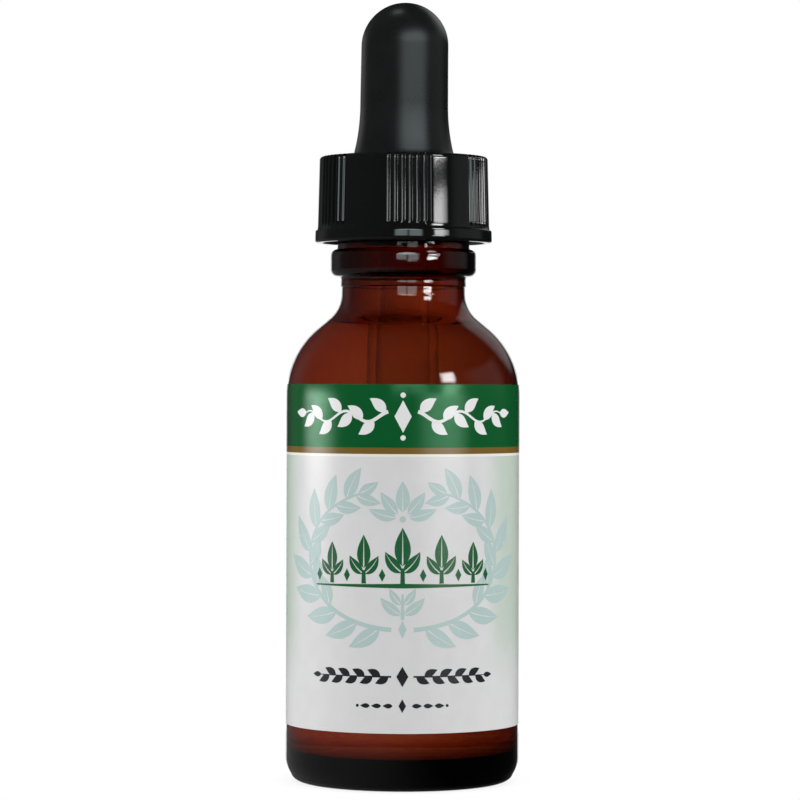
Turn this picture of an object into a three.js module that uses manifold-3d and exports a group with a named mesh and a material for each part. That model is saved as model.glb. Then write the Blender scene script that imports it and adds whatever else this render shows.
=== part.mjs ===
// A round amber glass dropper bottle of the 30 ml size, standing upright and closed. A wrap-round label covers the
// body, the bottle is filled to the shoulder, and a ribbed screw cap holds a rubber bulb and a glass pipette.
// Millimetres, +Z up. The origin is on the axis, in the plane that the bottle stands on. The label faces -Y.
import * as THREE from "three";
import { mergeVertices } from "three/addons/utils/BufferGeometryUtils.js";
import Module from "manifold-3d";

const wasm = await Module();
wasm.setup();

// ---- Driving dimensions -------------------------------------------------------------------------------------

const ROUND_SEGMENTS = 48; // sides of every large turned piece
const TUBE_SEGMENTS = 24; // sides of the pipette and what it holds

// Glass body
const BODY_RADIUS = 15.98;
const WALL = 2.1; // glass thickness of the body
const NECK_WALL = 2.4;
const PUSH_UP = 1.1; // how far the middle of the underside is raised
const BEARING_INNER = 12.0; // the flat ring that the bottle stands on
const BEARING_OUTER = 13.5;
const HEEL_CORNER = { across: 1.87, up: 1.35 }; // half the width and height of the ellipse that rounds its corner
const HEEL_TOP_Z = 3.2; // where the slow curve above the corner runs into the body
const HEEL_STEPS = 4;
const FLOOR_SHARES = [0, 0.35, 0.7, 1]; // where the domed floor's outlines have points, as shares of its radius
const FLOOR_Z = 4.2; // inside, where the floor meets the inner heel
const FLOOR_CROWN = 0.5; // how far the floor rises to its middle
const INNER_HEEL_RADIUS = 1.7;

// Shoulder: a round arc, a straight slope and a hollow arc into the neck
const SHOULDER_Z = 53.1; // where the body ends
const SHOULDER_RADIUS = 12.0;
const SHOULDER_ANGLE = 50.4; // degrees that each arc turns through
const NECK_FILLET_RADIUS = 4.46;
const NECK_RADIUS = 8.44;

// Neck bead and threaded finish
const BEAD_RADIUS = 9.95;
const BEAD_BOTTOM_Z = 69.4;
const BEAD_TOP_Z = 73.15;
const BEAD_ROUND = 1;
const BEAD_FILLET = 0.4; // between the neck and the underside of the bead
const FINISH_RADIUS = 9.1; // the wall between the turns of the thread
const LIP_Z = 82.9;
const LIP_OUTER_ROUND = 0.7;
const LIP_INNER_ROUND = 0.5;
const BORE_RADIUS = 5.9;
const BORE_DEPTH = 12.5; // from the lip down to where the bore meets the neck

// Screw thread: right-handed, one start, shared by the glass and the cap
const PITCH = 3.175;
const GLASS_THREAD = { root: FINISH_RADIUS - 0.3, crest: 9.9, rootWidth: 2.1, crestWidth: 0.9, startZ: 77.5, turns: 1 };
const CAP_THREAD = { root: 10.5, crest: 9.25, rootWidth: 1.7, crestWidth: 0.6, startZ: 76.35, turns: 1.2 };
const THREAD_STEPS_PER_TURN = 40;
const THREAD_FADE_TURNS = 0.07; // each end of a thread runs out over this much of a turn
const THREAD_END_SHARE = 0.1; // and is still this share of its full height where it stops

// Label
const LABEL_BOTTOM_Z = 8.0;
const LABEL_TOP_Z = 54.6;
const LABEL_GAP = 0.02; // between the glass and the paper
const LABEL_THICKNESS = 0.1;
const LABEL_SEAM = 60; // degrees left bare at the back
const LABEL_CORNER_RADIUS = 1.6;
const LABEL_CORNER_STEPS = 4;
const LABEL_COLUMNS = 72;

// Contents
const LIQUID_LEVEL_Z = 61.6;
const LIQUID_GAP = 0.08; // between the liquid and any glass

// Screw cap
const CAP_TOP_Z = 85.9;
const CAP_BOTTOM_Z = 74.05;
const CAP_TOP_RADIUS = 11.62;
const CAP_SKIRT_RADIUS = 11.84; // just above the flange
const CAP_EDGE_ROUND = 0.45;
const CORNER_CUT = 1 - Math.SQRT1_2; // how far a round corner's middle is from its square one, for each side
const CAP_HOLE_RADIUS = 6.0;
const CAP_ROOF = 1.5; // thickness of the cap's top
const CAP_INNER_RADIUS = 10.2; // between the turns of its thread
const FLANGE_RADIUS = 12.22;
const FLANGE_TOP_RADIUS = 12.14;
const FLANGE_HEIGHT = 1.7;
const FLANGE_STEP = 0.3; // height of the slope from its top edge to the skirt
const FLANGE_CHAMFER = 0.25;
const LEAD_IN = { across: 1.1, up: 0.9 }; // chamfer at the mouth of the cap
const RIB_GROUPS = 6;
const GROOVES_PER_GROUP = 6;
const GROOVE_PITCH = 5; // degrees
const GROOVE_DEPTH = 0.28;
const GROUP_TURN = 3.65 - 90; // degrees from +X to the middle of the group that faces the front
const RIB_FOOT_Z = 76.7; // where the grooves start to run out above the flange
const RIB_RUN_OUT = 0.3;
const PANEL_STEPS = 4; // sides of each smooth stretch between two groups

// Rubber bulb
const BULB_TOP_Z = 107.2;
const BULB_RADIUS = 6.0;
const BULB_WALL = 1.25;
const SKIRT_TOP_Z = 93.5; // where the bulb starts to widen towards the cap
const SKIRT_TOP_RADIUS = 6.06;
const SKIRT_FOOT_RADIUS = 6.98;
const SKIRT_POWER = 2.2; // how sharply it widens
const SKIRT_STEPS = 5;
const BULB_CLEARANCE = 0.15; // all round the cap's hole and over and under its roof
const GASKET_RADIUS = 9.0; // the bulb's flange, held between the cap and the glass lip
const LIP_CLEARANCE = 0.05;
const SOCKET_RADIUS = 3.56; // the sleeve that grips the pipette
const SOCKET_TOP_Z = 88.2;
const SOCKET_FLARE = { shoulder: 0.4, rise: 0.8, height: 2.2 }; // from the sleeve up to the air chamber's wall

// Pipette
const PIPETTE_RADIUS = 3.5;
const PIPETTE_BORE = 2.55;
const PIPETTE_TOP_Z = 89.0;
const PIPETTE_TIP_Z = 11.5;
const TIP_RADIUS = 1.5;
const TIP_BORE = 0.6;
const TAPER_LENGTH = 11;
const TIP_LENGTH = 2.5; // the straight nozzle below the taper
const TIP_CHAMFER = 0.25;

// ---- Outline helpers: a profile is a list of (radius, z) points -----------------------------------------------

const at = (r, z) => new THREE.Vector2(r, z);
const radians = THREE.MathUtils.degToRad;

/** Evenly spaced points on an ellipse round (r, z), from one angle to another in degrees. */
function arc(r, z, across, up, from, to, steps) {
  return Array.from({ length: steps + 1 }, (_, i) => {
    const a = radians(from + ((to - from) * i) / steps);
    return at(r + across * Math.cos(a), z + up * Math.sin(a));
  });
}

/** The part of an upward profile that lies below a level, with its last point on that level. */
function below(profile, level) {
  const next = profile.findIndex((p) => p.y > level);
  const share = (level - profile[next - 1].y) / (profile[next].y - profile[next - 1].y);
  return [...profile.slice(0, next), profile[next - 1].clone().lerp(profile[next], share)];
}

/** The shoulder from the body to the neck, its two arcs moved inwards from the outer surface. */
function shoulder(bodyInset, neckInset) {
  const a = radians(SHOULDER_ANGLE);
  const inward = 1 - Math.cos(a);
  const slopeTop = NECK_RADIUS + NECK_FILLET_RADIUS * inward;
  const slopeBottom = BODY_RADIUS - SHOULDER_RADIUS * inward;
  const slopeHeight = (slopeBottom - slopeTop) / Math.tan(a);
  const neckZ = SHOULDER_Z + (SHOULDER_RADIUS + NECK_FILLET_RADIUS) * Math.sin(a) + slopeHeight;
  const round = SHOULDER_RADIUS - bodyInset;
  const hollow = NECK_FILLET_RADIUS + neckInset;
  return [
    ...arc(BODY_RADIUS - SHOULDER_RADIUS, SHOULDER_Z, round, round, 0, SHOULDER_ANGLE, 6),
    ...arc(NECK_RADIUS + NECK_FILLET_RADIUS, neckZ, hollow, hollow, 180 + SHOULDER_ANGLE, 180, 4),
  ];
}

/** The inside of the bottle from the middle of its floor up to the neck, moved further inwards by gap. */
function cavity(gap) {
  const inset = WALL + gap;
  const round = INNER_HEEL_RADIUS;
  const flat = BODY_RADIUS - inset - round;
  const floor = FLOOR_Z + gap;
  return [
    ...FLOOR_SHARES.map((share) => at(flat * share, floor + FLOOR_CROWN * (1 - share ** 2))),
    ...arc(flat, floor + round, round, round, -75, 0, 5),
    ...shoulder(inset, NECK_WALL + gap),
  ];
}

/** The outer heel: a round corner, and a slow curve that steepens until it runs into the body. */
function heel() {
  const corner = arc(BEARING_OUTER, HEEL_CORNER.up, HEEL_CORNER.across, HEEL_CORNER.up, -90, -12, 5);
  const foot = corner[corner.length - 1];
  const curve = Array.from({ length: HEEL_STEPS }, (_, i) => {
    const share = (i + 1) / HEEL_STEPS;
    const short = (BODY_RADIUS - foot.x) * (1 - share) ** 2;
    return at(BODY_RADIUS - short, foot.y + (HEEL_TOP_Z - foot.y) * share);
  });
  return [...corner, ...curve];
}

// ---- Solid helpers ----------------------------------------------------------------------------------------------

/** A profile turned round the Z axis. It starts and ends on the axis, or closes on itself. */
function turned(profile, segments) {
  return new THREE.LatheGeometry(profile, segments).rotateX(Math.PI / 2);
}

/**
 * A skin over rings of points, each ring with the same number of points. The rings follow each other anticlockwise
 * round +Z and each runs anticlockwise as seen with its radius to the right; looped joins the last to the first.
 */
function loft(rings, looped) {
  const size = rings[0].length;
  const indices = [];
  const spans = looped ? rings.length : rings.length - 1;
  for (let i = 0; i < spans; i++) {
    const here = i * size;
    const there = ((i + 1) % rings.length) * size;
    for (let j = 0; j < size; j++) {
      const k = (j + 1) % size;
      indices.push(here + j, there + j, there + k);
      indices.push(here + j, there + k, here + k);
    }
  }
  if (!looped) {
    const last = (rings.length - 1) * size;
    for (let j = 1; j < size - 1; j++) {
      indices.push(0, j, j + 1);
      indices.push(last, last + j + 1, last + j);
    }
  }
  const geometry = new THREE.BufferGeometry().setFromPoints(rings.flat());
  geometry.setIndex(indices);
  return geometry;
}

/** A point at a radius, an angle in radians from +X towards +Y, and a height. */
function around(radius, angle, z) {
  return new THREE.Vector3(radius * Math.cos(angle), radius * Math.sin(angle), z);
}

/** A closed geometry as a manifold-3d solid. */
function solid(geometry) {
  const bare = geometry.clone();
  bare.deleteAttribute("normal");
  bare.deleteAttribute("uv");
  const merged = mergeVertices(bare, 1e-4);
  const vertProperties = merged.attributes.position.array;
  const triVerts = new Uint32Array(merged.index.array);
  return new wasm.Manifold(new wasm.Mesh({ numProp: 3, vertProperties, triVerts }));
}

/** Two closed geometries joined in one. */
function joined(first, second) {
  const mesh = solid(first).add(solid(second)).getMesh();
  const geometry = new THREE.BufferGeometry();
  geometry.setAttribute("position", new THREE.BufferAttribute(mesh.vertProperties, 3));
  geometry.setIndex(new THREE.BufferAttribute(mesh.triVerts, 1));
  return geometry;
}

/** A helical ridge: a trapezoid carried up the thread's helix, its crest sinking to the root at both ends. */
function thread({ root, crest, rootWidth, crestWidth, startZ, turns }) {
  const steps = Math.round(turns * THREAD_STEPS_PER_TURN);
  const outward = crest > root;
  const rings = Array.from({ length: steps + 1 }, (_, i) => {
    const turn = (turns * i) / steps;
    const angle = turn * 2 * Math.PI;
    const z = startZ + PITCH * turn;
    const strength = Math.min(1, Math.min(turn, turns - turn) / THREAD_FADE_TURNS + THREAD_END_SHARE);
    const top = root + (crest - root) * strength;
    const ring = [
      around(root, angle, z - rootWidth / 2),
      around(top, angle, z - crestWidth / 2),
      around(top, angle, z + crestWidth / 2),
      around(root, angle, z + rootWidth / 2),
    ];
    return outward ? ring : ring.reverse();
  });
  return loft(rings, false);
}

// ---- Pieces -------------------------------------------------------------------------------------------------------

/** The amber glass bottle: underside, heel, body, shoulder, beaded neck, threaded finish and hollow inside. */
function glassBottle() {
  const underside = FLOOR_SHARES.map((share) => at(BEARING_INNER * share, PUSH_UP * (1 - share ** 2)));
  const inside = cavity(0);
  const profile = [
    ...underside,
    ...heel(),
    ...shoulder(0, 0),
    at(NECK_RADIUS, BEAD_BOTTOM_Z - BEAD_FILLET),
    at(NECK_RADIUS + BEAD_FILLET, BEAD_BOTTOM_Z),
    ...arc(BEAD_RADIUS - BEAD_ROUND, BEAD_BOTTOM_Z + BEAD_ROUND, BEAD_ROUND, BEAD_ROUND, -80, 0, 3),
    ...arc(BEAD_RADIUS - BEAD_ROUND, BEAD_TOP_Z - BEAD_ROUND, BEAD_ROUND, BEAD_ROUND, 0, 80, 3),
    at(FINISH_RADIUS, BEAD_TOP_Z),
    ...arc(FINISH_RADIUS - LIP_OUTER_ROUND, LIP_Z - LIP_OUTER_ROUND, LIP_OUTER_ROUND, LIP_OUTER_ROUND, 0, 90, 3),
    ...arc(BORE_RADIUS + LIP_INNER_ROUND, LIP_Z - LIP_INNER_ROUND, LIP_INNER_ROUND, LIP_INNER_ROUND, 90, 180, 2),
    at(BORE_RADIUS, LIP_Z - BORE_DEPTH),
    ...inside.reverse(),
  ];
  return joined(turned(profile, ROUND_SEGMENTS), thread(GLASS_THREAD));
}

/** The paper label: a thin sheet round the body with rounded corners, open at the back. */
function label() {
  const inner = BODY_RADIUS + LABEL_GAP;
  const outer = inner + LABEL_THICKNESS;
  const half = Math.PI - radians(LABEL_SEAM) / 2;
  const corner = LABEL_CORNER_RADIUS / outer;
  const cornerSteps = arc(0, 0, 1, 1, 180, 90, LABEL_CORNER_STEPS).map((p) => ({ along: 1 + p.x, cut: 1 - p.y }));
  const left = cornerSteps.map(({ along, cut }) => ({ angle: -half + corner * along, cut: cut * LABEL_CORNER_RADIUS }));
  const right = left.map(({ angle, cut }) => ({ angle: -angle, cut })).reverse();
  const flat = half - corner;
  const middle = Array.from({ length: LABEL_COLUMNS - 1 }, (_, i) => ({
    angle: -flat + (2 * flat * (i + 1)) / LABEL_COLUMNS,
    cut: 0,
  }));
  const rings = [...left, ...middle, ...right].map(({ angle, cut }) => {
    const turn = angle - Math.PI / 2;
    const low = LABEL_BOTTOM_Z + cut;
    const high = LABEL_TOP_Z - cut;
    return [around(outer, turn, low), around(outer, turn, high), around(inner, turn, high), around(inner, turn, low)];
  });
  return loft(rings, false);
}

/** The liquid in the bottle, with the hole that the pipette dips into. */
function liquid() {
  const hole = PIPETTE_RADIUS + LIQUID_GAP;
  const tip = TIP_RADIUS + LIQUID_GAP;
  const profile = [
    ...below(cavity(LIQUID_GAP), LIQUID_LEVEL_Z),
    at(hole, LIQUID_LEVEL_Z),
    at(hole, PIPETTE_TIP_Z + TIP_LENGTH + TAPER_LENGTH),
    at(tip, PIPETTE_TIP_Z + TIP_LENGTH - LIQUID_GAP),
    at(tip, PIPETTE_TIP_Z - LIQUID_GAP),
    at(0, PIPETTE_TIP_Z - LIQUID_GAP),
  ];
  return turned(profile, ROUND_SEGMENTS);
}

/** The glass pipette: a straight tube drawn down to a nozzle. */
function pipette() {
  const taperTop = PIPETTE_TIP_Z + TIP_LENGTH + TAPER_LENGTH;
  const nozzleTop = PIPETTE_TIP_Z + TIP_LENGTH;
  const rim = (PIPETTE_RADIUS - PIPETTE_BORE) / 2;
  const profile = [
    at(TIP_BORE, PIPETTE_TIP_Z),
    at(TIP_RADIUS - TIP_CHAMFER, PIPETTE_TIP_Z),
    at(TIP_RADIUS, PIPETTE_TIP_Z + TIP_CHAMFER),
    at(TIP_RADIUS, nozzleTop),
    at(PIPETTE_RADIUS, taperTop),
    ...arc(PIPETTE_RADIUS - rim, PIPETTE_TOP_Z - rim, rim, rim, 0, 180, 4),
    at(PIPETTE_BORE, taperTop),
    at(TIP_BORE, nozzleTop),
    at(TIP_BORE, PIPETTE_TIP_Z),
  ];
  return turned(profile, TUBE_SEGMENTS);
}

/** The liquid that stands inside the pipette, level with the liquid round it. */
function liquidInPipette() {
  const taperTop = PIPETTE_TIP_Z + TIP_LENGTH + TAPER_LENGTH;
  const nozzleTop = PIPETTE_TIP_Z + TIP_LENGTH;
  const profile = [
    at(0, PIPETTE_TIP_Z + LIQUID_GAP),
    at(TIP_BORE - LIQUID_GAP, PIPETTE_TIP_Z + LIQUID_GAP),
    at(TIP_BORE - LIQUID_GAP, nozzleTop),
    at(PIPETTE_BORE - LIQUID_GAP, taperTop),
    at(PIPETTE_BORE - LIQUID_GAP, LIQUID_LEVEL_Z),
    at(0, LIQUID_LEVEL_Z),
  ];
  return turned(profile, TUBE_SEGMENTS);
}

/** The rubber bulb: a domed hollow with a skirt over the cap, a neck through its hole and a gasket below its roof. */
function bulb() {
  const domeZ = BULB_TOP_Z - BULB_RADIUS;
  const skirtFootZ = CAP_TOP_Z + BULB_CLEARANCE;
  const neck = CAP_HOLE_RADIUS - BULB_CLEARANCE;
  const roofZ = CAP_TOP_Z - CAP_ROOF - BULB_CLEARANCE;
  const gasketZ = LIP_Z + LIP_CLEARANCE;
  const hollow = BULB_RADIUS - BULB_WALL;
  const skirt = Array.from({ length: SKIRT_STEPS + 1 }, (_, i) => {
    const share = i / SKIRT_STEPS;
    const spread = (SKIRT_FOOT_RADIUS - SKIRT_TOP_RADIUS) * share ** SKIRT_POWER;
    return at(SKIRT_TOP_RADIUS + spread, SKIRT_TOP_Z - (SKIRT_TOP_Z - skirtFootZ) * share);
  });
  const outside = [
    ...arc(0, domeZ, BULB_RADIUS, BULB_RADIUS, 90, 0, 7),
    ...skirt,
    at(neck, skirtFootZ),
    at(neck, roofZ),
    at(GASKET_RADIUS, roofZ),
    at(GASKET_RADIUS, gasketZ),
    at(SOCKET_RADIUS, gasketZ),
  ];
  const inside = [
    at(SOCKET_RADIUS, SOCKET_TOP_Z),
    at(hollow - SOCKET_FLARE.shoulder, SOCKET_TOP_Z + SOCKET_FLARE.rise),
    at(hollow, SOCKET_TOP_Z + SOCKET_FLARE.height),
    ...arc(0, domeZ, hollow, hollow, 0, 90, 5),
  ];
  return turned([...outside, ...inside].reverse(), ROUND_SEGMENTS);
}

/** The angles, in degrees, at which the cap's outline turns, with how deep it is cut there as a share of a groove. */
function capOutline() {
  const period = 360 / RIB_GROUPS;
  const span = GROOVE_PITCH * GROOVES_PER_GROUP;
  return Array.from({ length: RIB_GROUPS }, (_, group) => {
    const start = GROUP_TURN + period * group - span / 2;
    const grooves = Array.from({ length: 2 * GROOVES_PER_GROUP + 1 }, (_, i) => ({
      angle: start + (GROOVE_PITCH * i) / 2,
      cut: i % 2,
    }));
    const panel = Array.from({ length: PANEL_STEPS - 1 }, (_, i) => ({
      angle: start + span + ((period - span) * (i + 1)) / PANEL_STEPS,
      cut: 0,
    }));
    return [...grooves, ...panel];
  }).flat();
}

/** The screw cap: a ribbed skirt with a flange at its foot, a holed roof, and a thread inside. */
function screwCap() {
  const roofZ = CAP_TOP_Z - CAP_ROOF;
  const flangeTopZ = CAP_BOTTOM_Z + FLANGE_HEIGHT;
  const plain = (r, z) => ({ r, z, ribbed: false });
  const ribbed = (r, z) => ({ r, z, ribbed: true });
  const profile = [
    plain(CAP_INNER_RADIUS, roofZ),
    plain(CAP_INNER_RADIUS, CAP_BOTTOM_Z + LEAD_IN.up),
    plain(CAP_INNER_RADIUS + LEAD_IN.across, CAP_BOTTOM_Z),
    plain(FLANGE_RADIUS - FLANGE_CHAMFER, CAP_BOTTOM_Z),
    plain(FLANGE_RADIUS, CAP_BOTTOM_Z + FLANGE_CHAMFER),
    plain(FLANGE_TOP_RADIUS, flangeTopZ),
    plain(CAP_SKIRT_RADIUS, flangeTopZ + FLANGE_STEP),
    plain(CAP_SKIRT_RADIUS, RIB_FOOT_Z - RIB_RUN_OUT),
    ribbed(CAP_SKIRT_RADIUS, RIB_FOOT_Z),
    ribbed(CAP_TOP_RADIUS, CAP_TOP_Z - CAP_EDGE_ROUND),
    ribbed(CAP_TOP_RADIUS - CAP_EDGE_ROUND * CORNER_CUT, CAP_TOP_Z - CAP_EDGE_ROUND * CORNER_CUT),
    plain(CAP_TOP_RADIUS - CAP_EDGE_ROUND - GROOVE_DEPTH, CAP_TOP_Z),
    plain(CAP_HOLE_RADIUS, CAP_TOP_Z),
    plain(CAP_HOLE_RADIUS, roofZ),
  ];
  const rings = capOutline().map(({ angle, cut }) =>
    profile.map(({ r, z, ribbed: grip }) => around(r - (grip ? cut * GROOVE_DEPTH : 0), radians(angle), z)),
  );
  return joined(loft(rings, true), thread(CAP_THREAD));
}

// ---- Assembly -----------------------------------------------------------------------------------------------------

const AMBER = new THREE.MeshStandardMaterial({
  color: 0x5e1a08, roughness: 0.05, metalness: 0, transparent: true, opacity: 0.8,
});
const CLEAR_GLASS = new THREE.MeshStandardMaterial({
  color: 0xdfe6e4, roughness: 0.05, metalness: 0, transparent: true, opacity: 0.35,
});
const TINCTURE = new THREE.MeshStandardMaterial({
  color: 0x6b3a12, roughness: 0.05, metalness: 0, transparent: true, opacity: 0.6,
});
const PAPER = new THREE.MeshStandardMaterial({ color: 0xd9dcd9, roughness: 0.4, metalness: 0 });
const BLACK_PLASTIC = new THREE.MeshStandardMaterial({ color: 0x151616, roughness: 0.2, metalness: 0 });
const BLACK_RUBBER = new THREE.MeshStandardMaterial({ color: 0x1e2021, roughness: 0.65, metalness: 0 });

/** A named mesh of one piece. */
function piece(name, geometry, material) {
  const mesh = new THREE.Mesh(geometry, material);
  mesh.name = name;
  return mesh;
}

const bottle = new THREE.Group();
bottle.add(piece("glass_bottle", glassBottle(), AMBER));
bottle.add(piece("label", label(), PAPER));
bottle.add(piece("liquid", liquid(), TINCTURE));

const dropper = new THREE.Group();
dropper.add(piece("rubber_bulb", bulb(), BLACK_RUBBER));
dropper.add(piece("glass_pipette", pipette(), CLEAR_GLASS));
dropper.add(piece("liquid_in_pipette", liquidInPipette(), TINCTURE));

const closure = new THREE.Group();
closure.add(piece("screw_cap", screwCap(), BLACK_PLASTIC));

const dropperBottle = new THREE.Group();
dropperBottle.add(bottle, dropper, closure);

export default dropperBottle;
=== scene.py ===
"""Fine surfaces and finishes of a round amber glass dropper bottle, standing closed on a pale studio floor.

Outlines are worked out in millimetres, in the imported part's own frame (+Z up, the label facing -Y), and every mesh
is put into Blender in metres. A profile is an array of (radius, height) rows that runs anticlockwise as seen with
the radius to the right, so a surface turned from it faces outwards.
"""

from __future__ import annotations

import logging
import math
from dataclasses import dataclass, field
from enum import Enum

import bpy
import numpy as np
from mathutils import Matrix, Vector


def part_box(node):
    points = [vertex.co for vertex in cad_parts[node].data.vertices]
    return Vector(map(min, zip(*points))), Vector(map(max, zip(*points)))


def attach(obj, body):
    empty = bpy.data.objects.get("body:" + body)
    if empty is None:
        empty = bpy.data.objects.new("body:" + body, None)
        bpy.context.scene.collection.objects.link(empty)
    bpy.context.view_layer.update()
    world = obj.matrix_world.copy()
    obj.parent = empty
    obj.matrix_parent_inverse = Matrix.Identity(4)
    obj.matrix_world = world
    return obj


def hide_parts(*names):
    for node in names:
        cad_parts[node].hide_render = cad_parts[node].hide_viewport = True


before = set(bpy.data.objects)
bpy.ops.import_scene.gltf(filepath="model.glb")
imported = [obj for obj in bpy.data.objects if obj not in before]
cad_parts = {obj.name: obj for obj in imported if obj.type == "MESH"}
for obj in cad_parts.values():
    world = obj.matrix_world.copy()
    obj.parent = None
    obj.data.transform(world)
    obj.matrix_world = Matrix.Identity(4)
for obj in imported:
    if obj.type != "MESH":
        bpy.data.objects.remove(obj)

log = logging.getLogger("dropper_bottle")

MM = 0.001
BACKING = "backing"  # mesh attribute: 1 on the label's glued side
SAME_POINT = 1e-9  # mm, points closer than this are one
SAME_HEIGHT = 1e-6  # mm
CREASE = 35.0  # degrees, edges that turn by more stay sharp
FINEST = 0.006  # mm, least half width of a printed mark
Rgb = tuple[float, float, float]
Points = tuple[tuple[float, float], ...]  # each one a radius and a height
Ramp = tuple[float, float, float, float]  # from where to where a value changes, and its values before and after
Socket = bpy.types.NodeSocket
WHITE: Rgb = (1.0, 1.0, 1.0)
COOL: Rgb = (0.86, 1.0, 1.02)
PATCHES = (0.3, 0.7)  # values of the broad noise between which a finish changes


# ---- Numbers and outlines ---------------------------------------------------------------------------------------


def smoothstep(low: float, high: float, x: np.ndarray) -> np.ndarray:
    """A ramp from 0 at low to 1 at high that starts and ends level: t * t * (3 - 2 t)."""
    t = np.clip((np.asarray(x, dtype=float) - low) / (high - low), 0.0, 1.0)
    return t * t * (3.0 - 2.0 * t)


def point(radius: float, height: float) -> np.ndarray:
    """One row of a profile."""
    return np.array([[radius, height]])


def arc(centre: tuple[float, float], across: float, up: float, start: float, stop: float, steps: int) -> np.ndarray:
    """Points on an upright ellipse: centre + (across * cos a, up * sin a), with a even from start to stop.

    Args:
        centre: Radius and height of the ellipse's middle.
        across: Half its width.
        up: Half its height.
        start: First angle in degrees.
        stop: Last angle in degrees.
        steps: Stretches between the first point and the last.

    Returns:
        The points as (steps + 1, 2) rows.
    """
    angle = np.radians(np.linspace(start, stop, steps + 1))
    return np.column_stack([centre[0] + across * np.cos(angle), centre[1] + up * np.sin(angle)])


def outline(*stretches: np.ndarray, step: float) -> np.ndarray:
    """Stretches joined in one line, with points added evenly wherever two lie further apart than step.

    Args:
        *stretches: Rows of points, in order.
        step: Longest distance left between two points.

    Returns:
        The joined points.
    """
    knots = np.vstack(stretches)
    gaps = np.linalg.norm(np.diff(knots, axis=0), axis=1)
    knots = knots[np.concatenate([[True], gaps > SAME_POINT])]
    gaps = gaps[gaps > SAME_POINT]
    counts = np.maximum(1, np.ceil(gaps / step)).astype(int)
    span = np.repeat(np.arange(len(counts)), counts)
    order = np.arange(len(span)) - np.repeat(np.cumsum(counts) - counts, counts)
    share = (order / counts[span])[:, None]
    return np.vstack([knots[span] + (knots[span + 1] - knots[span]) * share, knots[-1:]])


def below(profile: np.ndarray, level: float) -> np.ndarray:
    """The part of an upward profile under a level, with its last point on that level.

    Args:
        profile: Rows of radius and height.
        level: The height at which it is cut.

    Returns:
        The lower part.
    """
    after = int(np.argmax(profile[:, 1] > level))
    low, high = profile[after - 1], profile[after]
    return np.vstack([profile[:after], low + (high - low) * (level - low[1]) / (high[1] - low[1])])


def even_angles(count: int) -> np.ndarray:
    """Angles round the axis in radians, evenly spaced from 0."""
    return np.arange(count) * (2.0 * np.pi / count)


def helix_ridge(angle: np.ndarray, height: np.ndarray, thread: Thread) -> np.ndarray:
    """How far a screw thread stands out at each angle and height, as a share of its full depth.

    The ridge's middle climbs one pitch per turn from the thread's start. Its share is 1 within the crest's half
    width of that middle, falls evenly to 0 at the root's half width, and runs out over a short arc at both ends.

    Args:
        angle: Angles in radians, from 0 to a full turn.
        height: Heights in mm, of a shape that goes with angle.
        thread: The thread's sizes.

    Returns:
        The share at each point.
    """
    share = np.zeros(np.broadcast(angle, height).shape)
    for lap in range(math.ceil(thread.turns)):
        turn = angle / (2.0 * np.pi) + lap
        off = np.abs(height - thread.start_z - thread.pitch * turn)
        flank = (thread.root_width / 2.0 - off) / (thread.root_width / 2.0 - thread.crest_width / 2.0)
        ends = smoothstep(0.0, thread.fade, turn) * smoothstep(0.0, thread.fade, thread.turns - turn)
        share = np.maximum(share, np.clip(flank, 0.0, 1.0) * ends)
    return share


@dataclass(frozen=True)
class Thread:
    """A one-start right-hand screw thread: sizes in mm, lengths along it in turns."""

    start_z: float
    turns: float
    depth: float
    root_width: float
    crest_width: float
    pitch: float = 3.175
    fade: float = 0.07


# ---- Meshes -----------------------------------------------------------------------------------------------------


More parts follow.
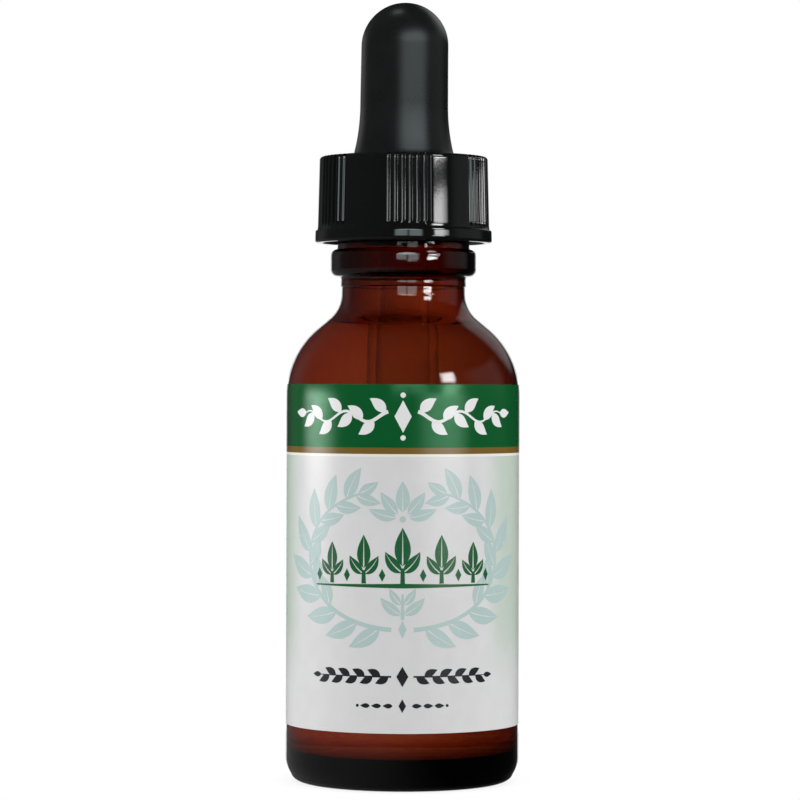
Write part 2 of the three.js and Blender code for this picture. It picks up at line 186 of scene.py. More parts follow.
@dataclass(frozen=True)
class Surface:
    """A closed mesh in mm: its vertices, and its faces as quads and triangles."""

    vertices: np.ndarray
    quads: np.ndarray
    triangles: np.ndarray = field(default_factory=lambda: np.zeros((0, 3), dtype=int))

    @staticmethod
    def hoops(low: np.ndarray, high: np.ndarray) -> np.ndarray:
        """Quads between rows of vertex numbers and the rows above them, closed round the axis."""
        return np.stack([low, np.roll(low, -1, 1), np.roll(high, -1, 1), high], axis=-1).reshape(-1, 4)

    @staticmethod
    def turned(grid: np.ndarray) -> Surface:
        """A surface from a profile that starts and ends on the axis.

        Args:
            grid: Points by profile row and column, (rows, columns, 3). Its first and last rows lie on the axis.

        Returns:
            The surface, with one vertex at each pole.
        """
        columns = grid.shape[1]
        ring = grid[1:-1]
        index = np.arange(ring.shape[0] * columns).reshape(-1, columns)
        first = np.full(columns, index.size)
        last = first + 1
        start = np.column_stack([first, np.roll(index[0], -1), index[0]])
        end = np.column_stack([last, index[-1], np.roll(index[-1], -1)])
        vertices = np.vstack([ring.reshape(-1, 3), grid[0, :1], grid[-1, :1]])
        return Surface(vertices, Surface.hoops(index[:-1], index[1:]), np.vstack([start, end]))

    @staticmethod
    def looped(grid: np.ndarray) -> Surface:
        """A surface from a profile that closes on itself, (rows, columns, 3), with no row repeated."""
        index = np.arange(grid.shape[0] * grid.shape[1]).reshape(grid.shape[:2])
        return Surface(grid.reshape(-1, 3), Surface.hoops(index, np.roll(index, -1, 0)))

    @staticmethod
    def slab(outer: np.ndarray, inner: np.ndarray) -> Surface:
        """A thin solid between two grids of the same shape, closed round its rim.

        Args:
            outer: Points of the face side, (rows, columns, 3).
            inner: Points of the back side, of the same shape.

        Returns:
            The surface.
        """
        index = np.arange(outer.shape[0] * outer.shape[1]).reshape(outer.shape[:2])
        face = np.stack([index[:-1, :-1], index[1:, :-1], index[1:, 1:], index[:-1, 1:]], axis=-1).reshape(-1, 4)
        rim = np.concatenate([index[:, 0], index[-1, 1:], index[-2::-1, -1], index[0, -2:0:-1]])
        ahead = np.roll(rim, -1)
        back = index.size
        side = np.column_stack([ahead, rim, rim + back, ahead + back])
        quads = np.vstack([face, face[:, ::-1] + back, side])
        return Surface(np.vstack([outer.reshape(-1, 3), inner.reshape(-1, 3)]), quads)

    @staticmethod
    def joined(surfaces: list[Surface]) -> Surface:
        """Several surfaces as one mesh.

        Args:
            surfaces: The surfaces, in order.

        Returns:
            Their vertices and faces together.
        """
        starts = np.cumsum([0] + [len(s.vertices) for s in surfaces[:-1]])
        return Surface(
            np.vstack([s.vertices for s in surfaces]),
            np.vstack([s.quads + start for s, start in zip(surfaces, starts)]),
            np.vstack([s.triangles + start for s, start in zip(surfaces, starts)]),
        )

    def to_object(self, name: str, material: bpy.types.Material) -> bpy.types.Object:
        """The surface as a shaded Blender object at the origin.

        Args:
            name: The piece's name.
            material: Its one material.

        Returns:
            The object, linked to the scene.
        """
        mesh = bpy.data.meshes.new(name)
        mesh.from_pydata((self.vertices * MM).tolist(), [], self.quads.tolist() + self.triangles.tolist())
        mesh.materials.append(material)
        mesh.shade_smooth()
        mesh.set_sharp_from_angle(angle=math.radians(CREASE))
        piece = bpy.data.objects.new(name, mesh)
        bpy.context.scene.collection.objects.link(piece)
        return piece


def spun(profile: np.ndarray, angles: np.ndarray, swell: np.ndarray | float = 0.0) -> np.ndarray:
    """A profile turned round the axis: (r cos a, r sin a, z), with r the profile's radius plus a swell.

    Args:
        profile: Rows of radius and height.
        angles: Angles of the columns in radians.
        swell: Added to the radius, for each row and column. It is left out where the radius is 0.

    Returns:
        The points, (rows, columns, 3).
    """
    radius = profile[:, :1] + swell * (profile[:, :1] > 0.0)
    height = np.broadcast_to(profile[:, 1:], radius.shape if radius.shape[1] > 1 else (len(profile), len(angles)))
    return np.stack([radius * np.cos(angles), radius * np.sin(angles), height], axis=-1)


# ---- Shaders ----------------------------------------------------------------------------------------------------


class Nodes:
    """A node tree with short ways to add and join nodes."""

    def __init__(self, tree: bpy.types.NodeTree) -> None:
        """Takes over a tree and empties it."""
        self.tree = tree
        tree.nodes.clear()

    def add(self, kind: str, settings: dict | None = None, **inputs: object) -> bpy.types.Node:
        """Adds a node.

        Args:
            kind: The node's type name.
            settings: Values of the node's own properties.
            **inputs: Values or sockets to join, by socket name with _ for a space, or by in_N for the Nth socket.

        Returns:
            The node.
        """
        node = self.tree.nodes.new(kind)
        for name, value in (settings or {}).items():
            setattr(node, name, value)
        for name, value in inputs.items():
            socket = node.inputs[int(name[3:])] if name.startswith("in_") else node.inputs[name.replace("_", " ")]
            self.feed(socket, value)
        return node

    def feed(self, socket: Socket, value: object) -> None:
        """Joins a socket to another socket, or sets its value.

        Args:
            socket: The input socket.
            value: An output socket, a number, or a colour without its alpha.
        """
        if isinstance(value, Socket):
            self.tree.links.new(value, socket)
        elif socket.type == "RGBA":
            socket.default_value = (*value, 1.0)
        else:
            socket.default_value = value

    def math(self, operation: str, *values: object) -> Socket:
        """A Math node.

        Args:
            operation: What it works out.
            *values: Its inputs in order, each a number or a socket.

        Returns:
            Its result.
        """
        node = self.add("ShaderNodeMath", {"operation": operation})
        for socket, value in zip(node.inputs, values):
            self.feed(socket, value)
        return node.outputs[0]

    def fold(self, operation: str, first: Socket, *others: object) -> Socket:
        """A Math operation on two values, carried on over any more of them.

        Args:
            operation: What it works out.
            first: The first value.
            *others: The ones that follow it.

        Returns:
            The last result.
        """
        for other in others:
            first = self.math(operation, first, other)
        return first

    def object_parts(self) -> bpy.types.bpy_prop_collection:
        """The X, Y and Z of the Object coordinates."""
        place = self.add("ShaderNodeTexCoord").outputs["Object"]
        return self.add("ShaderNodeSeparateXYZ", Vector=place).outputs

    def band(self, value: Socket, low: float, high: float, soft: float) -> Socket:
        """1 where a value lies between two others and 0 outside them, with soft edges.

        Args:
            value: The value.
            low: Where the band starts.
            high: Where it ends.
            soft: Width of each of its edges.

        Returns:
            The share.
        """
        rise = self.ramp(value, low - soft / 2, low + soft / 2)
        fall = self.ramp(value, high - soft / 2, high + soft / 2)
        return self.math("SUBTRACT", rise, fall)

    def ramp(self, value: Socket, low: float, high: float, to_low: float = 0.0, to_high: float = 1.0) -> Socket:
        """A smooth Map Range.

        Args:
            value: What it reads.
            low: The value at which it starts.
            high: The value at which it ends.
            to_low: Its result up to low.
            to_high: Its result from high on.

        Returns:
            Its result.
        """
        node = self.add("ShaderNodeMapRange", {"interpolation_type": "SMOOTHSTEP"})
        for socket, number in zip(node.inputs, (value, low, high, to_low, to_high)):
            self.feed(socket, number)
        return node.outputs[0]

    def mix_value(self, share: object, first: object, second: object) -> Socket:
        """The number first, going over to second as share goes from 0 to 1."""
        return self.add("ShaderNodeMix", {"data_type": "FLOAT"}, in_0=share, in_2=first, in_3=second).outputs[0]

    def mix(self, share: object, first: object, second: object) -> Socket:
        """The colour first, going over to second as share goes from 0 to 1."""
        return self.add("ShaderNodeMix", {"data_type": "RGBA"}, in_0=share, in_6=first, in_7=second).outputs[2]


def new_group(name: str, inputs: dict[str, float], outputs: dict[str, str]) -> tuple[Nodes, dict]:
    """An empty shader node group.

    Args:
        name: The group's name.
        inputs: Float inputs and their defaults.
        outputs: Output names and socket types.

    Returns:
        The group's nodes, and its input sockets by name.
    """
    tree = bpy.data.node_groups.new(name, "ShaderNodeTree")
    nodes = Nodes(tree)
    for label, value in inputs.items():
        tree.interface.new_socket(label, in_out="INPUT", socket_type="NodeSocketFloat").default_value = value
    for label, kind in outputs.items():
        tree.interface.new_socket(label, in_out="OUTPUT", socket_type=kind)
    entry = nodes.add("NodeGroupInput")
    return nodes, {label: entry.outputs[label] for label in inputs}


def grain_group() -> bpy.types.NodeTree:
    """A fine grain on Object coordinates: outputs Height, from a close noise, and Patch, from a broad one.

    Returns:
        The group's tree.
    """
    nodes, inputs = new_group(
        "fine_grain",
        {"Grain": 9000.0, "Broad": 150.0, "Stretch": 1.0},
        {"Height": "NodeSocketFloat", "Patch": "NodeSocketFloat"},
    )
    parts = nodes.object_parts()
    tall = nodes.math("DIVIDE", parts["Z"], inputs["Stretch"])
    drawn = nodes.add("ShaderNodeCombineXYZ", X=parts["X"], Y=parts["Y"], Z=tall).outputs[0]
    close = nodes.add("ShaderNodeTexNoise", Vector=drawn, Scale=inputs["Grain"], Detail=3.0, Roughness=0.6)
    broad = nodes.add("ShaderNodeTexNoise", Vector=drawn, Scale=inputs["Broad"], Detail=4.0, Roughness=0.55)
    nodes.add("NodeGroupOutput", Height=close.outputs["Fac"], Patch=broad.outputs["Fac"])
    return nodes.tree


def speck_group() -> bpy.types.NodeTree:
    """Sparse dust: output Mask is 1 in small dots, as many as Amount says, one to a cell of a Voronoi pattern.

    Returns:
        The group's tree.
    """
    defaults = {"Scale": 900.0, "Amount": 0.1, "Size": 0.16}
    nodes, inputs = new_group("dust_specks", defaults, {"Mask": "NodeSocketFloat"})
    place = nodes.add("ShaderNodeTexCoord").outputs["Object"]
    cells = nodes.add("ShaderNodeTexVoronoi", Vector=place, Scale=inputs["Scale"])
    pick = nodes.add("ShaderNodeSeparateColor", Color=cells.outputs["Color"])
    chosen = nodes.math("LESS_THAN", pick.outputs[0], inputs["Amount"])
    dot = nodes.math("LESS_THAN", cells.outputs["Distance"], inputs["Size"])
    nodes.add("NodeGroupOutput", Mask=nodes.math("MULTIPLY", chosen, dot))
    return nodes.tree


class Workshop:
    """The shared node groups, made once, and the start that every material has in common."""

    def __init__(self) -> None:
        """Builds the groups."""
        self.grain = grain_group()
        self.specks = speck_group()

    @staticmethod
    def start(name: str) -> tuple[bpy.types.Material, Nodes]:
        """A new material with an empty node tree.

        Args:
            name: Its name.

        Returns:
            The material and its nodes.
        """
        material = bpy.data.materials.new(name)
        material.use_nodes = True
        return material, Nodes(material.node_tree)

    def grained(self, nodes: Nodes, grain: float, broad: float, stretch: float = 1.0) -> bpy.types.Node:
        """The fine grain group placed in a material."""
        return nodes.add("ShaderNodeGroup", {"node_tree": self.grain}, Grain=grain, Broad=broad, Stretch=stretch)

    def specked(self, nodes: Nodes, scale: float, amount: float, size: float) -> Socket:
        """The dust group placed in a material: its mask."""
        node = nodes.add("ShaderNodeGroup", {"node_tree": self.specks}, Scale=scale, Amount=amount, Size=size)
        return node.outputs["Mask"]


@dataclass(frozen=True)
class GlassFinish:
    """Smooth glass or a clear liquid, coloured by what it absorbs on the way through."""

    name: str
    ior: float
    absorbed: Rgb  # colour that the absorption leaves
    density: float
    wave: float = 0.0  # strength of the uneven surface
    wave_scale: float = 180.0
    smudge: float = 0.0  # roughness added where the surface has been handled
    wave_height: float = 0.0002  # metres
    close_scale: float = 6.0  # scale of the close grain, as a multiple of the wave's

    def material(self, shop: Workshop) -> bpy.types.Material:
        """Builds the material.

        Args:
            shop: The shared node groups.

        Returns:
            The material.
        """
        material, nodes = shop.start(self.name)
        shader = nodes.add(
            "ShaderNodeBsdfPrincipled", Base_Color=WHITE, Roughness=0.0, IOR=self.ior, Transmission_Weight=1.0
        )
        if self.wave:
            patch = shop.grained(nodes, self.wave_scale * self.close_scale, self.wave_scale).outputs["Patch"]
            bump = nodes.add("ShaderNodeBump", Strength=self.wave, Distance=self.wave_height, Height=patch)
            nodes.feed(shader.inputs["Normal"], bump.outputs[0])
            nodes.feed(shader.inputs["Roughness"], nodes.ramp(patch, 0.45, 0.75, 0.0, self.smudge))
        inside = nodes.add("ShaderNodeVolumeAbsorption", Color=self.absorbed, Density=self.density)
        nodes.add("ShaderNodeOutputMaterial", Surface=shader.outputs[0], Volume=inside.outputs[0])
        return material


@dataclass(frozen=True)
class MouldedFinish:
    """An opaque moulded skin: rubber or plastic."""

    name: str
    colour: Rgb
    pale: Rgb  # colour of the bloom and the dust on it
    bloom: float  # how much of pale shows in patches
    rough_low: float
    rough_high: float
    grain: float  # scale of the close grain
    bump: float  # height of that grain in metres
    broad: float = 120.0  # scale of the patches
    stretch: float = 1.0  # how far the grain is drawn upwards
    dust: float = 0.06  # share of the places for a speck that have one
    dust_scale: float = 1100.0
    dust_size: float = 0.12  # of a speck, as a share of its place
    dust_share: float = 0.5  # how much of pale a speck shows
    ior: float = 1.5

    def material(self, shop: Workshop) -> bpy.types.Material:
        """Builds the material.

        Args:
            shop: The shared node groups.

        Returns:
            The material.
        """
        material, nodes = shop.start(self.name)
        grain = shop.grained(nodes, self.grain, self.broad, self.stretch)
        patch = grain.outputs["Patch"]
        faded = nodes.mix(nodes.ramp(patch, 0.35, 0.7, 0.0, self.bloom), self.colour, self.pale)
        dust = shop.specked(nodes, self.dust_scale, self.dust, self.dust_size)
        colour = nodes.mix(nodes.math("MULTIPLY", dust, self.dust_share), faded, self.pale)
        rough = nodes.ramp(patch, *PATCHES, self.rough_low, self.rough_high)
        bump = nodes.add("ShaderNodeBump", Strength=1.0, Distance=self.bump, Height=grain.outputs["Height"])
        shader = nodes.add(
            "ShaderNodeBsdfPrincipled", Base_Color=colour, Roughness=rough, Normal=bump.outputs[0], IOR=self.ior
        )
        nodes.add("ShaderNodeOutputMaterial", Surface=shader.outputs[0])
        return material


VARNISH = {"IOR": 1.48, "Specular_IOR_Level": 0.35}  # the same over paper and ink


@dataclass(frozen=True)
class InkFinish:
    """One printed colour under the label's varnish."""

    name: str
    colour: Rgb
    worn: Rgb  # what shows through where the ink is thin
    thin: float = 0.12  # how much of it shows
    grain: float = 14000.0
    broad: float = 700.0
    rough_low: float = 0.22
    rough_high: float = 0.28

    def material(self, shop: Workshop) -> bpy.types.Material:
        """Builds the material.

        Args:
            shop: The shared node groups.

        Returns:
            The material.
        """
        material, nodes = shop.start(self.name)
        grain = shop.grained(nodes, self.grain, self.broad)
        share = nodes.ramp(grain.outputs["Height"], 0.35, 0.75, 0.0, self.thin)
        shader = nodes.add(
            "ShaderNodeBsdfPrincipled",
            Base_Color=nodes.mix(share, self.colour, self.worn),
            Roughness=nodes.ramp(grain.outputs["Patch"], *PATCHES, self.rough_low, self.rough_high),
            **VARNISH,
        )
        nodes.add("ShaderNodeOutputMaterial", Surface=shader.outputs[0])
        return material


class Ink(Enum):
    """The label's printed colours."""

    WHITE = InkFinish("ink_white", (0.80, 0.80, 0.80), (0.45, 0.62, 0.50))
    TEAL = InkFinish("ink_teal", (0.42, 0.56, 0.54), (0.58, 0.66, 0.64), 0.3)
    GREEN = InkFinish("ink_green", (0.008, 0.11, 0.032), (0.06, 0.22, 0.10))
    GREY = InkFinish("ink_grey", (0.016, 0.017, 0.020), (0.08, 0.08, 0.085))


@dataclass(frozen=True)
class LabelFinish:
    """Varnished paper printed with a green head band, a gold rule and a field that is tinted at its sides."""

    band_z: float  # mm, lower edge of the green band
    rule_z: float  # mm, lower edge of the gold rule
    line: float = 0.35  # mm, height of the bare white line under it
    tint_start: float = 48.0  # degrees from the middle of the front
    tint_full: float = 66.0
    tint_shift: float = 7.0  # degrees by which both sides' tint stands further left
    tint_top: float = 24.0  # mm, below which the tint fades
    tint_bottom: float = 12.0
    green: Rgb = (0.003, 0.094, 0.022)
    sheen: Rgb = (0.45, 1.0, 0.62)  # colour of the green band's gloss
    gold: Rgb = (0.18, 0.108, 0.02)
    bare: Rgb = (0.85, 0.83, 0.76)
    field_colour: Rgb = (0.70, 0.70, 0.705)
    tint: Rgb = (0.53, 0.615, 0.54)
    back: Rgb = (0.78, 0.78, 0.76)
    mottle: float = 0.97  # how bright its darkest patches are
    edge: float = 0.02  # mm, half the height over which one colour goes over to the next
    grain: float = 12000.0
    broad: float = 420.0
    rough_low: float = 0.15
    rough_high: float = 0.20
    bump: float = 0.00003  # metres

    def material(self, shop: Workshop) -> bpy.types.Material:
        """Builds the material.

        Args:
            shop: The shared node groups.

        Returns:
            The material.
        """
        material, nodes = shop.start("label_paper")
        parts = nodes.object_parts()
        height = nodes.math("MULTIPLY", parts["Z"], 1.0 / MM)
        turn = nodes.math("ARCTAN2", parts["X"], nodes.math("MULTIPLY", parts["Y"], -1.0))
        turn = nodes.math("ADD", nodes.math("MULTIPLY", turn, 180.0 / math.pi), self.tint_shift)
        side = nodes.math("ABSOLUTE", turn)
        rise = nodes.ramp(height, self.tint_bottom, self.tint_top)
        shade = nodes.math("MULTIPLY", nodes.ramp(side, self.tint_start, self.tint_full), rise)
        colour = nodes.mix(shade, self.field_colour, self.tint)
        line = nodes.band(height, self.rule_z - self.line, self.rule_z, 2.0 * self.edge)
        starts = (self.rule_z, self.band_z)
        above_rule, above_band = (nodes.ramp(height, z - self.edge, z + self.edge) for z in starts)
        for share, ink in ((line, self.bare), (above_rule, self.gold), (above_band, self.green)):
            colour = nodes.mix(share, colour, ink)
        grain = shop.grained(nodes, self.grain, self.broad)
        mottle = nodes.ramp(grain.outputs["Patch"], *PATCHES, self.mottle, 1.0)
        colour = nodes.add("ShaderNodeVectorMath", {"operation": "SCALE"}, in_0=colour, Scale=mottle).outputs[0]
        backing = nodes.add("ShaderNodeAttribute", {"attribute_name": BACKING}).outputs["Fac"]
        colour = nodes.mix(nodes.ramp(backing, 0.4, 0.6), colour, self.back)
        bump = nodes.add("ShaderNodeBump", Strength=0.25, Distance=self.bump, Height=grain.outputs["Patch"])
        shader = nodes.add(
            "ShaderNodeBsdfPrincipled",
            Base_Color=colour,
            Roughness=nodes.ramp(grain.outputs["Patch"], *PATCHES, self.rough_low, self.rough_high),
            Normal=bump.outputs[0],
            Specular_Tint=nodes.mix(above_band, WHITE, self.sheen),
            **VARNISH,
        )
        nodes.add("ShaderNodeOutputMaterial", Surface=shader.outputs[0])
        return material


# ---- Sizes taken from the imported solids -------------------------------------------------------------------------


@dataclass(frozen=True)
class Reach:
    """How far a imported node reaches, in mm: its widest radius, its lowest height and its highest."""

    radius: float
    low: float
    high: float

    @staticmethod
    def of(node: str) -> Reach:
        """Reads a node's box from the frame."""
        low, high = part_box(node)
        return Reach(max(high[0], high[1], -low[0], -low[1]) / MM, low[2] / MM, high[2] / MM)


# ---- Glass body and contents ------------------------------------------------------------------------------------


@dataclass
class GlassBottle:
    """The amber glass bottle: underside, heel, body, shoulder, beaded neck, threaded finish and inner wall.

    Sizes are in mm and angles in degrees, as in the classes that follow.
    """

    reach: Reach
    wall: float = 2.1
    neck_wall: float = 2.4
    push_up: float = 1.1
    bearing_inner: float = 12.0
    bearing_outer: float = 13.5
    heel_across: float = 1.87  # half the width and the height of the ellipse that rounds the heel's corner
    heel_up: float = 1.35
    heel_top: float = 3.2
    floor_z: float = 4.2
    floor_crown: float = 0.5
    inner_heel: float = 1.7
    shoulder_z: float = 53.1
    shoulder_radius: float = 12.0
    shoulder_angle: float = 50.4
    neck_radius: float = 8.44
    neck_fillet: float = 4.46
    bead_radius: float = 9.95
    bead_bottom: float = 69.4
    bead_top: float = 73.15
    bead_round: float = 1.0  # of its lower corner
    bead_crown: float = 0.7  # of its upper corner
    bead_lean: float = 0.024  # how far its face draws in below that corner
    bead_face: Points = ((0.0, -0.5), (-0.004, -0.4))  # of that bend, from its radius and the corner's middle
    bead_fillet: float = 0.4
    bead_foot: float = 0.085  # how far the glass stands out from the neck under the bead
    finish_radius: float = 9.1
    lip_outer_round: float = 0.7
    lip_inner_round: float = 0.5
    bore_radius: float = 5.9
    bore_depth: float = 12.5
    parting_z: float = 68.0  # lower edge of the neck mould
    parting_step: tuple[float, float] = (0.02, 0.08)  # how far in and how far down its foot lies
    parting_round: float = 0.12
    thread: Thread = Thread(start_z=77.5, turns=1.0, depth=0.85, root_width=1.9, crest_width=0.7)
    seam_height: float = 0.05
    seam_width: float = 0.16
    seam_rise: tuple[float, float] = (0.3, 1.5)  # heights over which the seams rise out of the glass
    seam_fall: tuple[float, float] = (74.0, 73.0)  # heights over which they sink back into it
    hidden_rise: tuple[float, float] = (6.5, 8.0)  # heights over which they sink away for the label
    hidden_fall: tuple[float, float] = (56.0, 54.5)  # heights over which they come back above it
    # Each one's height in mm, how often it comes round the axis, and its turn in radians at height 0 and per mm up.
    waves: tuple[tuple[float, ...], ...] = ((0.09, 2.0, 0.6, 0.03), (0.05, 3.0, -1.1, 0.09), (0.03, 5.0, 0.0, 0.31))
    wave_rise: tuple[float, float] = (6.0, 14.0)
    wave_fall: tuple[float, float] = (68.0, 61.0)
    columns: int = 192
    seam_columns: tuple[float, ...] = (0.25, 0.5, 0.85, 1.3)  # degrees from a seam to the extra ones beside it
    outer_step: float = 0.8
    inner_step: float = 1.0
    finish_step: float = 0.16

    def shoulder(self, inset: float, neck_inset: float) -> np.ndarray:
        """The shoulder from the body up to the neck: a round arc, a straight slope and a hollow arc.

        Args:
            inset: How far inside the outer surface the round arc lies.
            neck_inset: How far inside it the hollow arc lies.

        Returns:
            The profile.
        """
        angle = math.radians(self.shoulder_angle)
        inward = 1.0 - math.cos(angle)
        body = self.reach.radius
        slope_top = self.neck_radius + self.neck_fillet * inward
        slope_bottom = body - self.shoulder_radius * inward
        slope = (slope_bottom - slope_top) / math.tan(angle)
        neck_z = self.shoulder_z + (self.shoulder_radius + self.neck_fillet) * math.sin(angle) + slope
        convex = self.shoulder_radius - inset
        hollow = self.neck_fillet + neck_inset
        return np.vstack([
            arc((body - self.shoulder_radius, self.shoulder_z), convex, convex, 0, self.shoulder_angle, 36),
            arc((self.neck_radius + self.neck_fillet, neck_z), hollow, hollow, 180 + self.shoulder_angle, 180, 20),
        ])

    @property
    def parting(self) -> np.ndarray:
        """The band that the neck mould leaves under the bead: a low swell with a step at its foot.

        Returns:
            Its profile, upwards.
        """
        inward, down = self.parting_step
        swell = self.parting_round
        step = point(self.neck_radius - inward, self.parting_z - down)
        return np.vstack([step, arc((self.neck_radius, self.parting_z + swell), swell, swell, -70, 0, 5)])

    @property
    def heel(self) -> np.ndarray:
        """The outer heel: a round corner, then radius = body - short * (1 - s)^2 over the height up to the body.

        Returns:
            Its profile, upwards.
        """
        corner = arc((self.bearing_outer, self.heel_up), self.heel_across, self.heel_up, -90, -12, 18)
        share = np.linspace(0.0, 1.0, 17)[1:]
        short = (self.reach.radius - corner[-1, 0]) * (1.0 - share) ** 2
        rise = corner[-1, 1] + (self.heel_top - corner[-1, 1]) * share
        return np.vstack([corner, np.column_stack([self.reach.radius - short, rise])])

    def cavity(self, grow: float = 0.0) -> np.ndarray:
        """The inside from the middle of the floor up to the neck.

        Args:
            grow: How far it is moved into the glass.

        Returns:
            Its profile, upwards.
        """
        inset = self.wall - grow
        heel = self.inner_heel
        flat = self.reach.radius - inset - heel
        floor = self.floor_z - grow
        share = np.linspace(0.0, 1.0, 12)
        return np.vstack([
            np.column_stack([flat * share, floor + self.floor_crown * (1.0 - share**2)]),
            arc((flat, floor + heel), heel, heel, -84, 0, 14),
            self.shoulder(inset, self.neck_wall - grow),
        ])

    def outside(self) -> np.ndarray:
        """The outer wall from the middle of the underside up to the lip.

        Returns:
            Its profile, upwards.
        """
        share = np.linspace(0.0, 1.0, 12)
        bead = self.bead_radius - self.bead_round
        crown = self.bead_radius - self.bead_lean - self.bead_crown
        fillet = self.bead_fillet
        lip = self.lip_outer_round
        return np.vstack([
            np.column_stack([self.bearing_inner * share, self.push_up * (1.0 - share**2)]),
            self.heel,
            self.shoulder(0.0, 0.0),
            self.parting,
            arc((self.neck_radius + self.bead_foot + fillet, self.bead_bottom - fillet), fillet, fillet, 180, 90, 8),
            arc((bead, self.bead_bottom + self.bead_round), self.bead_round, self.bead_round, -84, 0, 12),
            np.array(self.bead_face) + [self.bead_radius, self.bead_top - self.bead_crown],
            arc((crown, self.bead_top - self.bead_crown), self.bead_crown, self.bead_crown, 4, 80, 10),
            point(self.finish_radius, self.bead_top),
            arc((self.finish_radius - lip, self.reach.high - lip), lip, lip, 0, 90, 8),
        ])

    def wave(self, angle: np.ndarray, height: np.ndarray) -> np.ndarray:
        """The unevenness of the inner wall: slow sine waves round and up it, gone at the floor and the neck."""
        waves = sum(size * np.sin(count * angle + turn + climb * height) for size, count, turn, climb in self.waves)
        return waves * smoothstep(*self.wave_rise, height) * smoothstep(*self.wave_fall, height)

    def seams(self, outside: np.ndarray, angles: np.ndarray) -> np.ndarray:
        """The two mould seams: height * exp(-(d / width)^2), with d the way round the glass to the nearer one.

        Args:
            outside: The outer profile.
            angles: Angles of the columns in radians.

        Returns:
            How far they stand out, by row and column. They are left out under the label and above the bead.
        """
        off = np.minimum(angles % np.pi, np.pi - angles % np.pi)
        along = outside[:, 1:]
        hidden = smoothstep(*self.hidden_rise, along) * smoothstep(*self.hidden_fall, along)
        ridge = self.seam_height * np.exp(-((outside[:, :1] * off / self.seam_width) ** 2))
        return ridge * (1.0 - hidden) * smoothstep(*self.seam_rise, along) * smoothstep(*self.seam_fall, along)

    def angles(self) -> np.ndarray:
        """Even columns, with a few more beside the two mould seams.

        Returns:
            Their angles in radians, in order.
        """
        beside = np.radians(self.seam_columns)
        extra = np.concatenate([beside, -beside])
        all_angles = np.concatenate([even_angles(self.columns), extra, extra + np.pi]) % (2.0 * np.pi)
        return np.unique(all_angles.round(9))

    def surface(self) -> Surface:
        """The whole bottle as one closed surface.

        The outer wall is its profile plus the mould seams and, on the finish, the thread's helix. Its rows lie
        closer on the finish. The inner wall is its profile plus the wave.

        Returns:
            The surface.
        """
        angles = self.angles()
        outside = outline(self.outside(), step=self.outer_step)
        on_finish = outside[:, 1] > self.bead_top - SAME_HEIGHT
        outside = np.vstack([outside[~on_finish], outline(outside[on_finish], step=self.finish_step)])
        screw = self.thread.depth * helix_ridge(angles, outside[:, 1:], self.thread)
        lip = self.lip_inner_round
        inside = outline(
            arc((self.bore_radius + lip, self.reach.high - lip), lip, lip, 90, 180, 6),
            point(self.bore_radius, self.reach.high - self.bore_depth),
            self.cavity()[::-1],
            step=self.inner_step,
        )
        grid = np.concatenate([
            spun(outside, angles, self.seams(outside, angles) + screw),
            spun(inside, angles, self.wave(angles, inside[:, 1:])),
        ])
        return Surface.turned(grid)


@dataclass
class Pipette:
    """The clear glass tube, drawn down to a nozzle."""

    reach: Reach
    bore: float = 2.55
    tip_radius: float = 1.5
    tip_bore: float = 0.6
    tip_round: float = 0.3  # height of the tip's rounded end
    taper: float = 11.0
    nozzle: float = 2.5
    columns: int = 96
    row_step: float = 1.5

    def tube(self, radius: float, tip: float, top: float) -> np.ndarray:
        """Half the outline of the tube at a radius: nozzle, an S-shaped taper and the straight part.

        Args:
            radius: Radius of the straight part.
            tip: Radius of the nozzle.
            top: Height at which the straight part ends.

        Returns:
            Its profile, upwards.
        """
        nozzle_top = self.reach.low + self.nozzle
        share = np.linspace(0.0, 1.0, 24)
        drawn = tip + (radius - tip) * smoothstep(0.0, 1.0, share)
        return np.vstack([
            point(tip, self.reach.low + self.tip_round),
            np.column_stack([drawn, nozzle_top + self.taper * share]),
            point(radius, top),
        ])

    def surface(self) -> Surface:
        """The tube with its fire-polished ends, as a profile that closes on itself.

        Returns:
            The surface.
        """
        rim = (self.reach.radius - self.bore) / 2.0
        tip_rim = (self.tip_radius - self.tip_bore) / 2.0
        middle = self.bore + rim
        tip_middle = self.tip_bore + tip_rim
        profile = outline(
            self.tube(self.reach.radius, self.tip_radius, self.reach.high - rim),
            arc((middle, self.reach.high - rim), rim, rim, 0, 180, 12),
            self.tube(self.bore, self.tip_bore, self.reach.high - rim)[::-1],
            arc((tip_middle, self.reach.low + self.tip_round), tip_rim, self.tip_round, 180, 360, 8),
            step=self.row_step,
        )
        return Surface.looped(spun(profile[:-1], even_angles(self.columns)))


